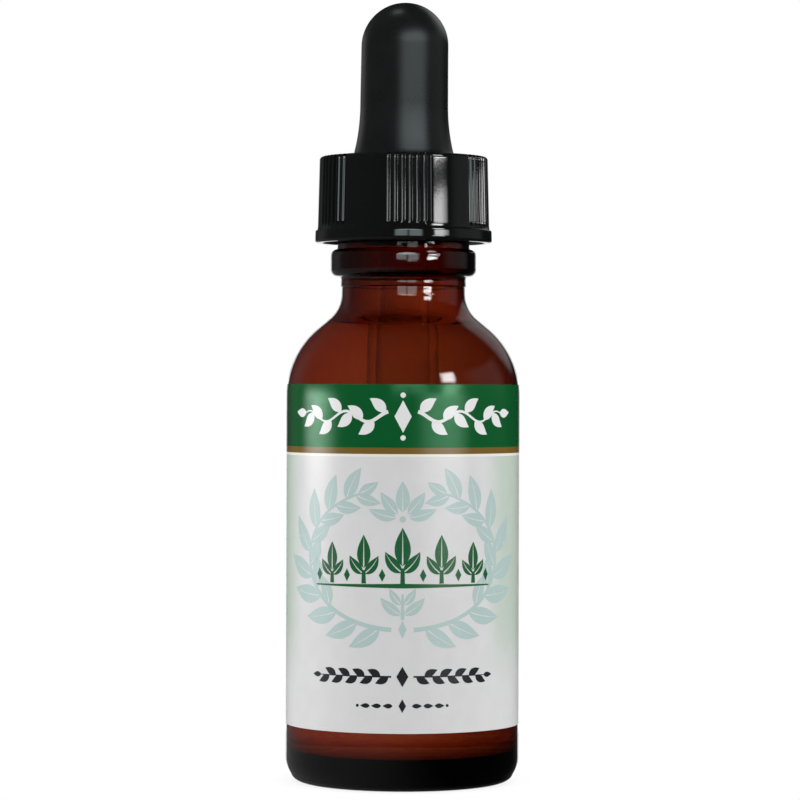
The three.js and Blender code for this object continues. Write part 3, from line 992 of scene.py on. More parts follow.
@dataclass
class Contents:
    """The liquid in the bottle and in the pipette.

    Each reaches a hair into the glass that holds it, because light then bends as it does where liquid wets glass.
    """

    bottle: GlassBottle
    pipette: Pipette
    level: float
    overlap: float = 0.06
    meniscus: float = 0.1  # size of the curve where the surface meets a wall
    row_step: float = 0.8

    @property
    def crest(self) -> float:
        """Height at which the liquid leaves a wall: the level plus sqrt(2) of that size."""
        return self.level + math.sqrt(2.0) * self.meniscus

    def climb(self, gap: np.ndarray) -> np.ndarray:
        """Height of the meniscus above the level at a distance from an upright wall that the liquid wets.

        With z the height, x the gap and both counted in the meniscus's size, the surface is
        x = arcosh(2 / z) - arcosh(sqrt 2) + sqrt 2 - sqrt(4 - z^2). It is read off backwards from a table of z.

        Args:
            gap: Distances from the wall in mm.

        Returns:
            The heights in mm.
        """
        z = math.sqrt(2.0) * np.linspace(1.0, 0.001, 800)
        x = np.arccosh(2.0 / z) - math.acosh(math.sqrt(2.0)) + math.sqrt(2.0) - np.sqrt(4.0 - z**2)
        return self.meniscus * np.interp(gap / self.meniscus, x, z)

    def top(self, inner: float, outer: float) -> np.ndarray:
        """The free surface between two walls, its points closest beside them.

        Two menisci add up as sqrt(a^2 + b^2).

        Args:
            inner: Radius of the inner wall, or 0 where there is none.
            outer: Radius of the outer wall.

        Returns:
            Its profile, from the outer wall inwards.
        """
        radius = inner + (outer - inner) * (0.5 + 0.5 * np.cos(np.linspace(0.0, np.pi, 61)))
        rise = self.climb(outer - radius)
        if inner > 0.0:
            rise = np.hypot(rise, self.climb(radius - inner))
        return np.column_stack([radius, self.level + rise])

    def body(self) -> Surface:
        """The liquid round the pipette. The inner wall's wave fades over its free surface's first millimetre.

        Returns:
            The surface.
        """
        angles = self.bottle.angles()
        wall = below(self.bottle.cavity(self.overlap), self.crest)
        hole = self.pipette.tube(
            self.pipette.reach.radius - self.overlap, self.pipette.tip_radius - self.overlap, self.crest
        )
        profile = outline(
            wall,
            self.top(hole[-1, 0], wall[-1, 0])[1:-1],
            hole[::-1],
            point(0.0, self.pipette.reach.low - self.overlap),
            step=self.row_step,
        )
        split = int(np.argmax(profile[:, 1]))
        fade = np.clip(1.0 - (profile[split, 0] - profile[:, :1]), 0.0, 1.0)
        fade[: split + 1] = 1.0
        return Surface.turned(spun(profile, angles, self.bottle.wave(angles, profile[:, 1:]) * fade))

    def column(self) -> Surface:
        """The liquid inside the pipette.

        Returns:
            The surface.
        """
        bore = self.pipette.bore + self.overlap
        tube = self.pipette.tube(bore, self.pipette.tip_bore + self.overlap, self.crest)
        foot = point(0.0, self.pipette.reach.low + self.pipette.tip_round)
        profile = outline(foot, tube, self.top(0.0, bore)[1:], step=self.pipette.row_step)
        return Surface.turned(spun(profile, even_angles(self.pipette.columns)))


# ---- Label ------------------------------------------------------------------------------------------------------


@dataclass(frozen=True)
class Stroke:
    """A flat mark on the label: a middle line in mm across and up, and its half width at each point of it."""

    path: np.ndarray
    half: np.ndarray


def normals(path: np.ndarray) -> np.ndarray:
    """Unit normals of a flat line at each of its points, to the left of the way it runs.

    Args:
        path: The line's points, (points, 2).

    Returns:
        The normals, one row for each point.
    """
    along = np.gradient(path, axis=0)
    along = along / np.linalg.norm(along, axis=1, keepdims=True)
    return np.column_stack([-along[:, 1], along[:, 0]])


def leaf(x: float, z: float, heading: float, length: float, width: float, bend: float = 0.0) -> Stroke:
    """A leaf: its half width is width / 2 * sin(pi * t^0.8), and its middle line turns evenly by bend degrees.

    Args:
        x: Where its foot is, in mm to the right of the label's middle.
        z: Height of its foot in mm.
        heading: Direction of its foot in degrees from +X.
        length: Length of its middle line.
        width: Its greatest width.
        bend: How far its tip is turned from its foot, in degrees.

    Returns:
        The mark.
    """
    t = np.linspace(0.0, 1.0, 17)
    angle = np.radians(heading + bend * t)
    step = np.stack([np.cos(angle), np.sin(angle)], axis=-1) * length / (len(t) - 1)
    path = np.array([x, z]) + np.vstack([[[0.0, 0.0]], np.cumsum((step[1:] + step[:-1]) / 2.0, axis=0)])
    return Stroke(path, np.maximum(0.5 * width * np.sin(np.pi * t**0.8), FINEST))


def stem(points: np.ndarray, width: float, end_share: float = 0.35) -> Stroke:
    """A line of even width that narrows to end_share of it at its last point."""
    t = np.linspace(0.0, 1.0, len(points))
    return Stroke(points, 0.5 * width * (1.0 - (1.0 - end_share) * t))


def lozenge(x: float, z: float, width: float, height: float) -> Stroke:
    """An upright lozenge: its half width falls evenly from its middle to both tips.

    Args:
        x: Where its middle is, in mm to the right of the label's middle.
        z: Height of its middle in mm.
        width: Its width.
        height: Its height.

    Returns:
        The mark.
    """
    t = np.linspace(0.0, 1.0, 9)
    path = np.column_stack([np.full(len(t), x), z + height * (t - 0.5)])
    return Stroke(path, np.maximum(0.5 * width * (1.0 - np.abs(2.0 * t - 1.0)), FINEST))


def disc(x: float, z: float, radius: float) -> Stroke:
    """A round dot: its half width is sqrt(radius^2 - d^2) at the distance d from its middle.

    Args:
        x: Where its middle is, in mm to the right of the label's middle.
        z: Height of its middle in mm.
        radius: Its radius.

    Returns:
        The mark.
    """
    d = radius * -np.cos(np.linspace(0.0, np.pi, 15))
    half = np.sqrt(np.maximum(radius**2 - d**2, 0.0))
    return Stroke(np.column_stack([np.full(len(d), x), z + d]), np.maximum(half, FINEST))


def veined(blade: Stroke, vein: float = 0.15, most: float = 0.8, least: float = 0.004) -> list[Stroke]:
    """A leaf split by a bare vein that narrows to its tip: each half spreads from vein * (1 - t^2) / 2 to the rim.

    Args:
        blade: The whole leaf.
        vein: Width of the vein at its foot, in mm.
        most: Largest share of the leaf's half width that the vein may take.
        least: Least half width of either half.

    Returns:
        The two halves.
    """
    t = np.linspace(0.0, 1.0, len(blade.half))
    bare = np.minimum(0.5 * vein * (1.0 - t**2), most * blade.half)
    middle = ((blade.half + bare) / 2.0)[:, None] * normals(blade.path)
    half = np.maximum((blade.half - bare) / 2.0, least)
    return [Stroke(blade.path + middle, half), Stroke(blade.path - middle, half)]


def level_line(start: float, stop: float, z: float, points: int = 30) -> np.ndarray:
    """Points spaced evenly on a level line."""
    return np.column_stack([np.linspace(start, stop, points), np.full(points, z)])


def bar(start: float, stop: float, z: float, width: float) -> Stroke:
    """A level bar of even width."""
    return stem(level_line(start, stop, z, 24), width, 1.0)


def mirrored(strokes: list[Stroke]) -> list[Stroke]:
    """The marks and their mirror images about the label's middle line."""
    return strokes + [Stroke(s.path[::-1] * [-1.0, 1.0], s.half[::-1]) for s in strokes]


@dataclass
class Label:
    """The paper label and its print."""

    reach: Reach
    glass: GlassBottle
    seam: float = 60.0  # degrees left bare at the back
    corner: float = 1.6
    columns: int = 241
    rows: int = 48
    gap: float = 0.015
    paper: float = 0.07
    ink: float = 0.009  # thickness of a layer of ink
    stagger: float = 0.00004  # mm by which each mark stands above the one before, so that no two faces coincide
    band_z: float = 46.13
    rule_z: float = 45.28

    @property
    def face(self) -> float:
        """Radius of the paper's printed side."""
        return self.glass.reach.radius + self.gap + self.paper

    def wrapped(self, across: np.ndarray, up: np.ndarray, radius: np.ndarray | float) -> np.ndarray:
        """Places on the label bent round the bottle: the angle is the distance across over the face's radius.

        Above the shoulder's foot the radius draws in with it, by R - sqrt(R^2 - rise^2).

        Args:
            across: Distances in mm to the right of the label's middle.
            up: Heights in mm.
            radius: Radius of these places on the straight body.

        Returns:
            The points, (..., 3).
        """
        angle = across / self.face - np.pi / 2.0
        rise = np.maximum(up - self.glass.shoulder_z, 0.0)
        pull = self.glass.shoulder_radius - np.sqrt(self.glass.shoulder_radius**2 - rise**2)
        return np.stack([(radius - pull) * np.cos(angle), (radius - pull) * np.sin(angle), up], axis=-1)

    def sheet(self) -> Surface:
        """The paper: a slab over the distance across and the height, its four corners cut to quarter circles.

        Returns:
            The surface.
        """
        half = self.face * (math.pi - math.radians(self.seam) / 2.0)
        turn = np.radians(np.linspace(0.0, 90.0, 9))
        corner = self.corner * (1.0 - np.cos(turn))
        cut = self.corner * (1.0 - np.sin(turn))
        flat = np.linspace(-half + self.corner, half - self.corner, self.columns)[1:-1]
        across = np.concatenate([corner - half, flat, (half - corner)[::-1]])
        ends = np.concatenate([cut, np.zeros(len(flat)), cut[::-1]])
        share = np.linspace(0.0, 1.0, self.rows)
        low = self.reach.low + ends[:, None]
        up = low + (self.reach.high - ends[:, None] - low) * share
        wide = np.broadcast_to(across[:, None], up.shape)
        return Surface.slab(self.wrapped(wide, up, self.face), self.wrapped(wide, up, self.face - self.paper))

    def printed(self, strokes: list[Stroke], layer: int) -> Surface:
        """Marks as thin plates on the paper: middle line + s * half width along its normal, s from -1 to 1.

        Args:
            strokes: The marks.
            layer: Which of the ink's layers they lie in, from 0.

        Returns:
            One surface.
        """
        across = np.linspace(-1.0, 1.0, 9)
        plates = []
        for order, stroke in enumerate(strokes):
            spread = (stroke.half[:, None] * across)[..., None]
            flat = stroke.path[:, None, :] + normals(stroke.path)[:, None, :] * spread
            top = self.face + self.ink * (layer + 1) + self.stagger * order
            x, z = flat[..., 0], flat[..., 1]
            plates.append(Surface.slab(self.wrapped(x, z, top), self.wrapped(x, z, self.face - self.ink)))
        return Surface.joined(plates)

    def garland(self) -> list[Stroke]:
        """White on the green band: a vine along a sine line with a leaf at each quarter wave, and a lozenge.

        Returns:
            The marks.
        """
        middle, swing, wave, reach = 50.3, 0.7, 6.4, 15.2
        x = np.linspace(2.0, reach, 70)
        vine = stem(np.column_stack([x, middle + swing * np.sin(2.0 * np.pi * x / wave)]), 0.5)
        leaves = []
        for k, foot in enumerate(np.arange(2.4, reach, wave / 4.0)):
            up = 1.0 if k % 2 == 0 else -1.0
            z = middle + swing * math.sin(2.0 * math.pi * foot / wave)
            leaves.append(leaf(foot, z, up * 60.0, 2.9, 1.5, -up * 36.0))
        tip = leaf(reach, middle + swing * math.sin(2.0 * math.pi * reach / wave), -8.0, 2.5, 1.2, 18.0)
        dots = [disc(0.0, middle + off, 0.36) for off in (2.85, -2.85)]
        return mirrored([vine, tip, *leaves]) + [lozenge(0.0, middle, 2.3, 4.3), *dots]

    def sprigs(self) -> list[Stroke]:
        """Pale teal on the field: a wreath of two leafy branches, a fan of leaves at its top, a sprig at its foot.

        Returns:
            The marks.
        """
        first, last = -84.0, 65.0
        share = np.linspace(0.0, 1.0, 90)
        angle = np.radians(first + (last - first) * share)
        branch = np.column_stack([14.3 * np.cos(angle), 31.3 + 9.5 * np.sin(angle)])
        along = np.gradient(branch, axis=0)
        ahead = np.degrees(np.unwrap(np.arctan2(along[:, 1], along[:, 0])))
        run = np.concatenate([[0.0], np.cumsum(np.linalg.norm(np.diff(branch, axis=0), axis=1))])
        marks = [stem(branch, 0.6, 0.5)]
        for k, way in enumerate(np.linspace(0.05, 0.93, 9)):
            outer = int(np.searchsorted(run, way * run[-1]))
            inner = int(np.searchsorted(run, (way + 0.045) * run[-1]))
            size = 1.0 - 0.16 * abs(k - 3.5) / 3.5
            marks += veined(leaf(*branch[outer], ahead[outer] - 50.0, 6.0 * size, 2.5 * size, 22.0))
            if k > 1:
                marks += veined(leaf(*branch[inner], ahead[inner] + 46.0, 4.6 * size, 2.0 * size, -22.0))
        for blade in (
            (*branch[-1], ahead[-1] - 6.0, 3.2, 1.5, -14.0),
            (0.7, 37.3, 44.0, 3.7, 1.6, 16.0),
            (0.9, 36.8, 6.0, 3.9, 1.5, 22.0),
            (0.2, 23.9, 22.0, 3.6, 1.4, 34.0),
            (0.2, 25.2, 40.0, 2.7, 1.1, 30.0),
        ):
            marks += veined(leaf(*blade))
        upright = stem(np.array([[0.0, 23.2], [0.0, 26.6]]), 0.5, 0.6)
        crown = veined(leaf(0.0, 37.6, 90.0, 4.1, 1.9))
        return mirrored(marks) + crown + [upright, disc(0.0, 36.6, 0.42), lozenge(0.0, 21.9, 1.1, 2.4)]

    def crest(self) -> list[Stroke]:
        """Dark green in the middle: upright three-leaved sprouts between lozenges, largest in the centre.

        Returns:
            The marks.
        """
        foot = 28.0
        marks = []
        for x, size in ((0.0, 1.08), (5.3, 0.94), (10.1, 0.8)):
            marks.append(stem(np.array([[x, foot], [x, foot + 1.9 * size]]), 0.62, 0.8))
            marks += veined(leaf(x, foot + 2.2 * size, 90.0, 4.7 * size, 2.0 * size), 0.18)
            marks += veined(leaf(x + 0.1, foot + 1.4 * size, 34.0, 3.3 * size, 1.45 * size, 34.0), 0.16)
            if x:
                marks += veined(leaf(x - 0.1, foot + 1.4 * size, 146.0, 3.3 * size, 1.45 * size, -34.0), 0.16)
        marks += [lozenge(x, foot + 1.1, 0.9, 1.7) for x in (2.75, 7.75, 12.3)]
        marks.append(stem(level_line(0.0, 12.9, foot - 0.3), 0.62, 0.25))
        return mirrored(marks)

    def foot_rows(self) -> list[Stroke]:
        """Dark grey under the field: a twig of small leaves on both sides of a lozenge, and a smaller row below.

        Returns:
            The marks.
        """
        upper, lower = 15.6, 11.7
        marks = [stem(level_line(1.5, 12.1, upper), 0.24, 0.4)]
        for k, x in enumerate(np.arange(1.9, 11.6, 1.08)):
            way = 1.0 if k % 2 else -1.0
            marks.append(leaf(x, upper, way * 38.0, 2.0, 0.98, way * -22.0))
        marks.append(leaf(12.0, upper, 0.0, 1.5, 0.7))
        marks += [leaf(1.3 + 1.55 * k, lower, 0.0, 1.35, 0.62) for k in range(3)]
        marks.append(disc(6.15, lower, 0.2))
        return mirrored(marks) + [lozenge(0.0, upper, 1.6, 2.7), lozenge(0.0, lower, 1.0, 1.8)]

    def side_sprouts(self) -> list[Stroke]:
        """Dark green at the head of each side panel: one small sprout.

        Returns:
            The marks.
        """
        x, foot = 33.5, 39.4
        marks = [stem(np.array([[x, foot], [x, foot + 1.1]]), 0.4, 0.8)]
        marks += veined(leaf(x, foot + 1.2, 90.0, 2.9, 1.25), 0.12)
        marks += veined(leaf(x + 0.1, foot + 0.7, 32.0, 2.2, 0.95, 34.0), 0.1)
        marks += veined(leaf(x - 0.1, foot + 0.7, 148.0, 2.2, 0.95, -34.0), 0.1)
        return mirrored(marks)

    def side_panels(self) -> list[Stroke]:
        """Dark grey on the side panels: a ruled table of bars on the right, and lines of bars on the left.

        Returns:
            The marks.
        """
        left, right, low, high = 27.4, 39.6, 12.4, 37.6
        rows = np.linspace(low, high - 2.2, 10)
        marks = [bar(left, right, z, 0.42) for z in (low, high)]
        marks += [bar(left, right, z, 0.12) for z in rows[1:-1]]
        marks.append(bar(left + 0.9, right - 0.9, high - 1.25, 1.15))
        for k, z in enumerate((rows[:-1] + rows[1:]) / 2.0):
            marks.append(bar(left + 0.9, left + 5.6 + 1.5 * math.sin(2.4 * k), z, 0.62))
            marks.append(bar(right - 2.4 - 0.5 * math.cos(1.7 * k), right - 0.9, z, 0.62))
        up = np.linspace(low, high, 16)
        marks += [stem(np.column_stack([np.full(len(up), side), up]), 0.34, 1.0) for side in (left, right)]
        for k, z in enumerate(np.arange(high - 0.6, low, -1.28)):
            if k % 6 == 5:
                continue
            end = 0.5 if k % 6 == 4 else 0.86 + 0.14 * math.sin(2.1 * k)
            marks.append(bar(-right, -right + (right - left) * end, z, 0.56))
        return marks


# ---- Closure ----------------------------------------------------------------------------------------------------


@dataclass
class Bulb:
    """The rubber bulb: dome, straight wall, a skirt that spreads over the cap, neck, gasket and air chamber."""

    reach: Reach
    cap: Reach
    lip_z: float
    radius: float = 6.0
    wall: float = 1.25
    skirt_top: float = 93.5
    skirt_top_radius: float = 6.06
    skirt_foot_radius: float = 6.98
    skirt_power: float = 2.2
    skirt_edge: float = 0.12
    clearance: float = 0.15
    hole: float = 6.0
    roof: float = 1.5
    lip_clearance: float = 0.05
    socket: float = 3.56
    socket_top: float = 88.2
    slope: Points = ((0.0, 2.2), (-0.4, 0.8))  # of the hollow's foot, from its wall and the socket's top
    lean: float = 0.19  # how far its top stands to the right
    lean_power: float = 1.5
    columns: int = 160
    row_step: float = 0.7

    def surface(self) -> Surface:
        """The bulb as one turned surface: a half circle for the dome, and a power curve for the skirt.

        Soft rubber never stands quite straight: above the cap it leans by lean * s^lean_power, with s its share of
        the height there.

        Returns:
            The surface.
        """
        dome = self.reach.high - self.radius
        foot = self.cap.high + self.clearance
        share = np.linspace(0.0, 1.0, 24)
        spread = self.skirt_top_radius + (self.skirt_foot_radius - self.skirt_top_radius) * share**self.skirt_power
        skirt = np.column_stack([spread, self.skirt_top - (self.skirt_top - foot) * share])
        neck = self.hole - self.clearance
        roof = self.cap.high - self.roof - self.clearance
        gasket = self.lip_z + self.lip_clearance
        hollow = self.radius - self.wall
        profile = outline(
            arc((0.0, dome), hollow, hollow, 90, 0, 24),
            np.array(self.slope) + [hollow, self.socket_top],
            point(self.socket, self.socket_top),
            point(self.socket, gasket),
            point(self.reach.radius, gasket),
            point(self.reach.radius, roof),
            point(neck, roof),
            point(neck, foot),
            point(self.skirt_foot_radius - self.skirt_edge, foot),
            point(self.skirt_foot_radius, foot + self.skirt_edge),
            skirt[::-1][1:],
            arc((0.0, dome), self.radius, self.radius, 0, 90, 40),
            step=self.row_step,
        )
        grid = spun(profile, even_angles(self.columns))
        share = np.clip((grid[..., 2] - self.cap.high) / (self.reach.high - self.cap.high), 0.0, 1.0)
        grid[..., 0] += self.lean * share**self.lean_power
        return Surface.turned(grid)


@dataclass
class ScrewCap:
    """The moulded screw cap: skirt with groups of flutes, flange, roof with a hole, and the inner thread."""

    reach: Reach
    top_radius: float = 11.62
    skirt_radius: float = 11.84
    edge: float = 0.45
    hole: float = 6.0
    roof: float = 1.5
    inner: float = 10.2
    flange_height: float = 1.7
    flange_top_radius: float = 12.18
    flange_round: float = 0.32
    flange_side: tuple[float, float] = (0.003, 0.6)  # how far in and how far up its widest side starts
    flange_edge: Points = ((0.01, -0.16), (-0.01, -0.08), (-0.05, -0.02), (-0.11, 0.0))  # from its top corner
    fillet_across: float = 0.2  # half the width of the hollow between flange and skirt
    fillet_up: float = 0.85
    hole_edge: float = 0.2
    inner_edge: float = 0.3
    mouth_across: float = 1.1  # the chamfer at its mouth
    mouth_up: float = 0.9
    groups: int = 6
    flutes: int = 6
    flute_pitch: float = 5.0
    flute_share: float = 0.9  # of the pitch
    flute_depth: float = 0.36
    group_turn: float = 3.65 - 90.0
    flute_foot: float = 76.1
    flute_run_out: float = 0.45
    flute_end: float = 0.5  # how far outside the inner wall they end on the roof
    flute_columns: int = 12
    smooth_columns: int = 20  # between two groups
    outer_step: float = 0.3
    inner_step: float = 0.24
    thread: Thread = Thread(start_z=76.35, turns=1.2, depth=0.95, root_width=1.5, crest_width=0.5)

    def angles(self) -> np.ndarray:
        """Columns: close ones across the flutes, and wider ones over the smooth stretches between the groups.

        Returns:
            Their angles in radians, in order.
        """
        period = 360.0 / self.groups
        span = self.flute_pitch * self.flutes
        group = np.arange(self.flute_columns * self.flutes) * self.flute_pitch / self.flute_columns
        smooth = span + np.arange(self.smooth_columns) * (period - span) / self.smooth_columns
        one = np.concatenate([group, smooth]) + self.group_turn - span / 2.0
        every = (one + period * np.arange(self.groups)[:, None]).ravel() % 360.0
        return np.radians(np.sort(every))

    def fluting(self, angles: np.ndarray, height: np.ndarray) -> np.ndarray:
        """Depth of the flutes: across each one cos^2 of its width, less a wedge that lifts its foot to a point.

        Args:
            angles: Angles of the columns in radians.
            height: Heights in mm, one to a row.

        Returns:
            The depth for each row and column.
        """
        period = 360.0 / self.groups
        span = self.flute_pitch * self.flutes
        place = (np.degrees(angles) - self.group_turn + span / 2.0) % period
        off = (place % self.flute_pitch) / self.flute_pitch - 0.5
        inside = (np.abs(off) < self.flute_share / 2.0) & (place < span)
        across = np.where(inside, np.cos(np.pi * off / self.flute_share) ** 2, 0.0)
        rise = np.clip((height - self.flute_foot) / self.flute_run_out, 0.0, 1.0)
        return self.flute_depth * np.maximum(across - (1.0 - rise), 0.0)

    def surface(self) -> Surface:
        """The cap as a profile that closes on itself: its outside less the fluting, its inside less the thread.

        Returns:
            The surface.
        """
        low, high, flange = self.reach.low, self.reach.high, self.reach.radius
        roof = high - self.roof
        flange_top = low + self.flange_height
        foot, edge = self.flange_round, self.edge
        fillet = (self.skirt_radius + self.fillet_across, flange_top + self.fillet_up)
        outside = outline(
            point(self.inner + self.mouth_across, low),
            arc((flange - foot, low + foot), foot, foot, -90, 0, 5),
            point(flange - self.flange_side[0], low + self.flange_side[1]),
            np.array(self.flange_edge) + [self.flange_top_radius, flange_top],
            arc(fillet, self.fillet_across, self.fillet_up, 264, 180, 10),
            arc((self.top_radius - edge, high - edge), edge, edge, 0, 90, 8),
            point(self.hole + self.hole_edge, high),
            point(self.hole, high - self.hole_edge),
            step=self.outer_step,
        )
        inside = outline(
            point(self.hole, roof),
            point(self.inner - self.inner_edge, roof),
            point(self.inner, roof - self.inner_edge),
            point(self.inner, low + self.mouth_up),
            step=self.inner_step,
        )
        angles = self.angles()
        grip = self.fluting(angles, outside[:, 1:]) * (outside[:, :1] > self.inner + self.flute_end)
        screw = self.thread.depth * helix_ridge(angles, inside[:, 1:], self.thread)
        grid = np.concatenate([spun(outside, angles, -grip), spun(inside, angles, -screw)])
        return Surface.looped(grid)


# ---- Studio -----------------------------------------------------------------------------------------------------


FALL_SPAN = (0.45, 0.95)  # shares of a panel's width between which it dims to its right side


class Target(Enum):
    """What a lit panel shines on."""

    REST = "everything but the bulb"
    BULB = "the bulb alone"
    LABEL = "the label alone"


@dataclass(frozen=True)
class SoftBox:
    """A lit panel that faces the bottle's axis: where it stands, as seen from there, and how bright it looks."""

    name: str
    left: float  # degrees from the camera's side round to its left side, counted to the right
    right: float  # the same to its right side
    foot: float  # height of its lower edge in metres
    head: float  # height of its upper edge
    radiance: float
    soft: float  # share of its width and height over which it dims towards its edges
    distance: float = 0.60  # from the axis, in metres
    fall: float = 0.0  # share by which it dims from its left side to its right side
    colour: Rgb = WHITE
    arched: bool = False  # whether it narrows to a round head
    target: Target = Target.REST

    def build(self) -> bpy.types.Object:
        """Adds the light, upright and turned towards the axis.

        Returns:
            The light.
        """
        data = bpy.data.lights.new(self.name, "AREA")
        data.shape = "RECTANGLE"
        data.size = 2.0 * self.distance * math.tan(math.radians(self.right - self.left) / 2.0)
        data.size_y = self.head - self.foot
        data.color = self.colour
        data.energy = self.radiance * math.pi * data.size * data.size_y
        data.use_nodes = True
        nodes = Nodes(data.node_tree)
        place = nodes.add("ShaderNodeSeparateXYZ", Vector=nodes.add("ShaderNodeNewGeometry").outputs["Parametric"])
        across, along = place.outputs["X"], place.outputs["Y"]
        inset = self.soft / 2.0
        sides, ends = (nodes.band(way, inset, 1.0 - inset, self.soft) for way in (across, along))
        if self.arched:  # lit inside (2 across - 1)^2 + along^2 = 1
            aside = nodes.math("MULTIPLY_ADD", across, 2.0, -1.0)
            square = nodes.math("ADD", nodes.math("POWER", aside, 2.0), nodes.math("POWER", along, 2.0))
            more = nodes.ramp(square, 1.0 - self.soft, 1.0, 1.0, 0.0)
        else:
            more = nodes.ramp(across, *FALL_SPAN, 1.0, 1.0 - self.fall)
        glow = nodes.add("ShaderNodeEmission", Strength=nodes.fold("MULTIPLY", sides, ends, more))
        nodes.add("ShaderNodeOutputLight", Surface=glow.outputs[0])
        light = bpy.data.objects.new(self.name, data)
        angle = math.radians((self.left + self.right) / 2.0)
        light.location = (
            self.distance * math.sin(angle), -self.distance * math.cos(angle), (self.foot + self.head) / 2.0
        )
        light.rotation_euler = (math.pi / 2.0, 0.0, angle)
        light.visible_camera = False
        light.visible_transmission = False
        light.visible_diffuse = False
        bpy.context.scene.collection.objects.link(light)
        return light


@dataclass
class Studio:
    """Camera, floor, lights and surroundings. Its lengths are in metres."""

    eye: float = 0.0545  # height of the level camera
    distance: float = 0.474  # from the bottle's axis
    pixels_per_mm: float = 7.25  # at the axis
    frame_pixels: float = 800.0
    axis_pixel: float = 403.1  # where the axis crosses the horizon
    horizon_pixel: float = 385.0
    roll: float = -0.17  # degrees
    floor_radius: float = 0.11
    floor_fade: float = 0.17  # share of that radius at which the floor has gone
    floor_grey: Rgb = (0.94, 0.94, 0.94)
    floor_bounce: Rgb = (0.6, 0.6, 0.6)  # its colour in the light that it throws back
    floor_columns: int = 96
    backdrop: float = 1.0  # brightness of what the camera sees behind
    through_north: Ramp = (-0.2, 0.5, 0.6, 1.0)  # what shows through the glass, from in front to behind
    through_east: Ramp = (-0.6, 0.6, 0.66, 1.48)  # and from the left to the right, times as much
    matt_up: Ramp = (0.45, 1.0, 0.42, 2.2)  # what matt surfaces get, from all sides to straight above
    matt_left: Ramp = (-1.0, -0.2, 1.02, 0.0)  # more of it from the left
    matt_right: Ramp = (0.2, 1.0, 0.0, 1.15)  # more of it from the right
    matt_front: Ramp = (-0.4, 0.4, 1.0, 0.4)  # share of that from in front to behind
    gloom: Ramp = (-1.0, 0.3, 0.085, 0.012)  # what shiny surfaces reflect of the room, from the left to the right
    behind: Ramp = (0.955, 0.985, 0.0, 1.0)  # and of the backdrop straight behind
    low_left: Ramp = (-1.1, 0.9, 0.2, 0.0)  # and of what lies below, from the left to the right
    low_up: Ramp = (-0.10, 0.02, 1.0, 0.0)  # share of that from below to above
    back_left: Ramp = (-0.9, -0.2, 0.18, 0.0)  # and of what lies behind on the left
    back_north: Ramp = (0.2, 0.7, 0.0, 1.0)  # share of that from the side to behind
    rim_way: tuple[float, float, float] = (0.42, 0.80, 0.43)  # way to the middle of a bright patch behind
    rim_spot: Ramp = (0.935, 0.985, 0.0, 0.4)  # its light, over the cosine of the angle from its middle
    rim_up: Ramp = (0.04, 0.2, 0.0, 1.0)  # share of that from the horizon up
    right_gloom: float = 0.2  # light of a dim patch on the right
    right_turn: tuple[float, float, float] = (1.22, 2.1, 0.35)  # its sides and their fade, in radians round
    right_up: tuple[float, float, float] = (-0.02, 0.45, 0.1)  # its foot, its head and their fade
    boxes: tuple[SoftBox, ...] = (
        SoftBox("key_low", 36.0, 56.0, 0.0975, 0.1165, 21.0, soft=0.2),
        SoftBox("key_middle", 39.0, 62.0, 0.1195, 0.1425, 12.5, soft=0.14, fall=0.7),
        SoftBox("key_upper", 39.0, 62.0, 0.1500, 0.168, 26.0, soft=0.24, fall=0.6),
        SoftBox("key_high", 37.0, 57.0, 0.190, 0.385, 18.0, soft=0.3),
        SoftBox("front_low_right", 5.0, 26.0, 0.089, 0.165, 3.0, soft=0.22, colour=COOL),
        SoftBox("front_low_left", -13.0, 7.0, 0.097, 0.165, 3.0, soft=0.22, colour=COOL),
        SoftBox("front_high", -15.0, 28.0, 0.152, 0.205, 7.5, soft=0.3, colour=COOL, arched=True),
        SoftBox("left_strip", -118.0, -62.0, 0.005, 0.116, 14.0, soft=0.5, target=Target.LABEL),
        SoftBox("right_strip", 10.0, 72.0, 0.010, 0.108, 7.5, soft=0.4, target=Target.LABEL),
        SoftBox("bulb_panel", -16.0, 65.0, 0.090, 0.560, 2.6, soft=0.24, colour=COOL, target=Target.BULB),
        SoftBox("bulb_edge", -165.0, -120.0, 0.090, 0.300, 0.3, soft=0.4, target=Target.BULB),
        SoftBox("bulb_top", -160.0, -110.0, 0.600, 2.200, 3.0, soft=0.4, distance=0.30, target=Target.BULB),
        SoftBox("bulb_right", 105.0, 165.0, 0.200, 0.700, 0.5, soft=0.4, target=Target.BULB),
    )

    def camera(self) -> None:
        """The camera: level, with a small shift that sets the horizon's height in the frame."""
        data = bpy.data.cameras.new("camera")
        focal = self.pixels_per_mm / MM * self.distance
        data.lens = focal * data.sensor_width / self.frame_pixels
        data.shift_y = (self.horizon_pixel - self.frame_pixels / 2.0) / self.frame_pixels
        data.clip_start = 0.01
        data.clip_end = 10.0
        camera = bpy.data.objects.new("camera", data)
        side = (self.axis_pixel - self.frame_pixels / 2.0) / self.pixels_per_mm * MM
        camera.location = (-side, -self.distance, self.eye)
        camera.rotation_euler = (math.pi / 2.0, math.radians(self.roll), 0.0)
        bpy.context.scene.collection.objects.link(camera)
        bpy.context.scene.camera = camera

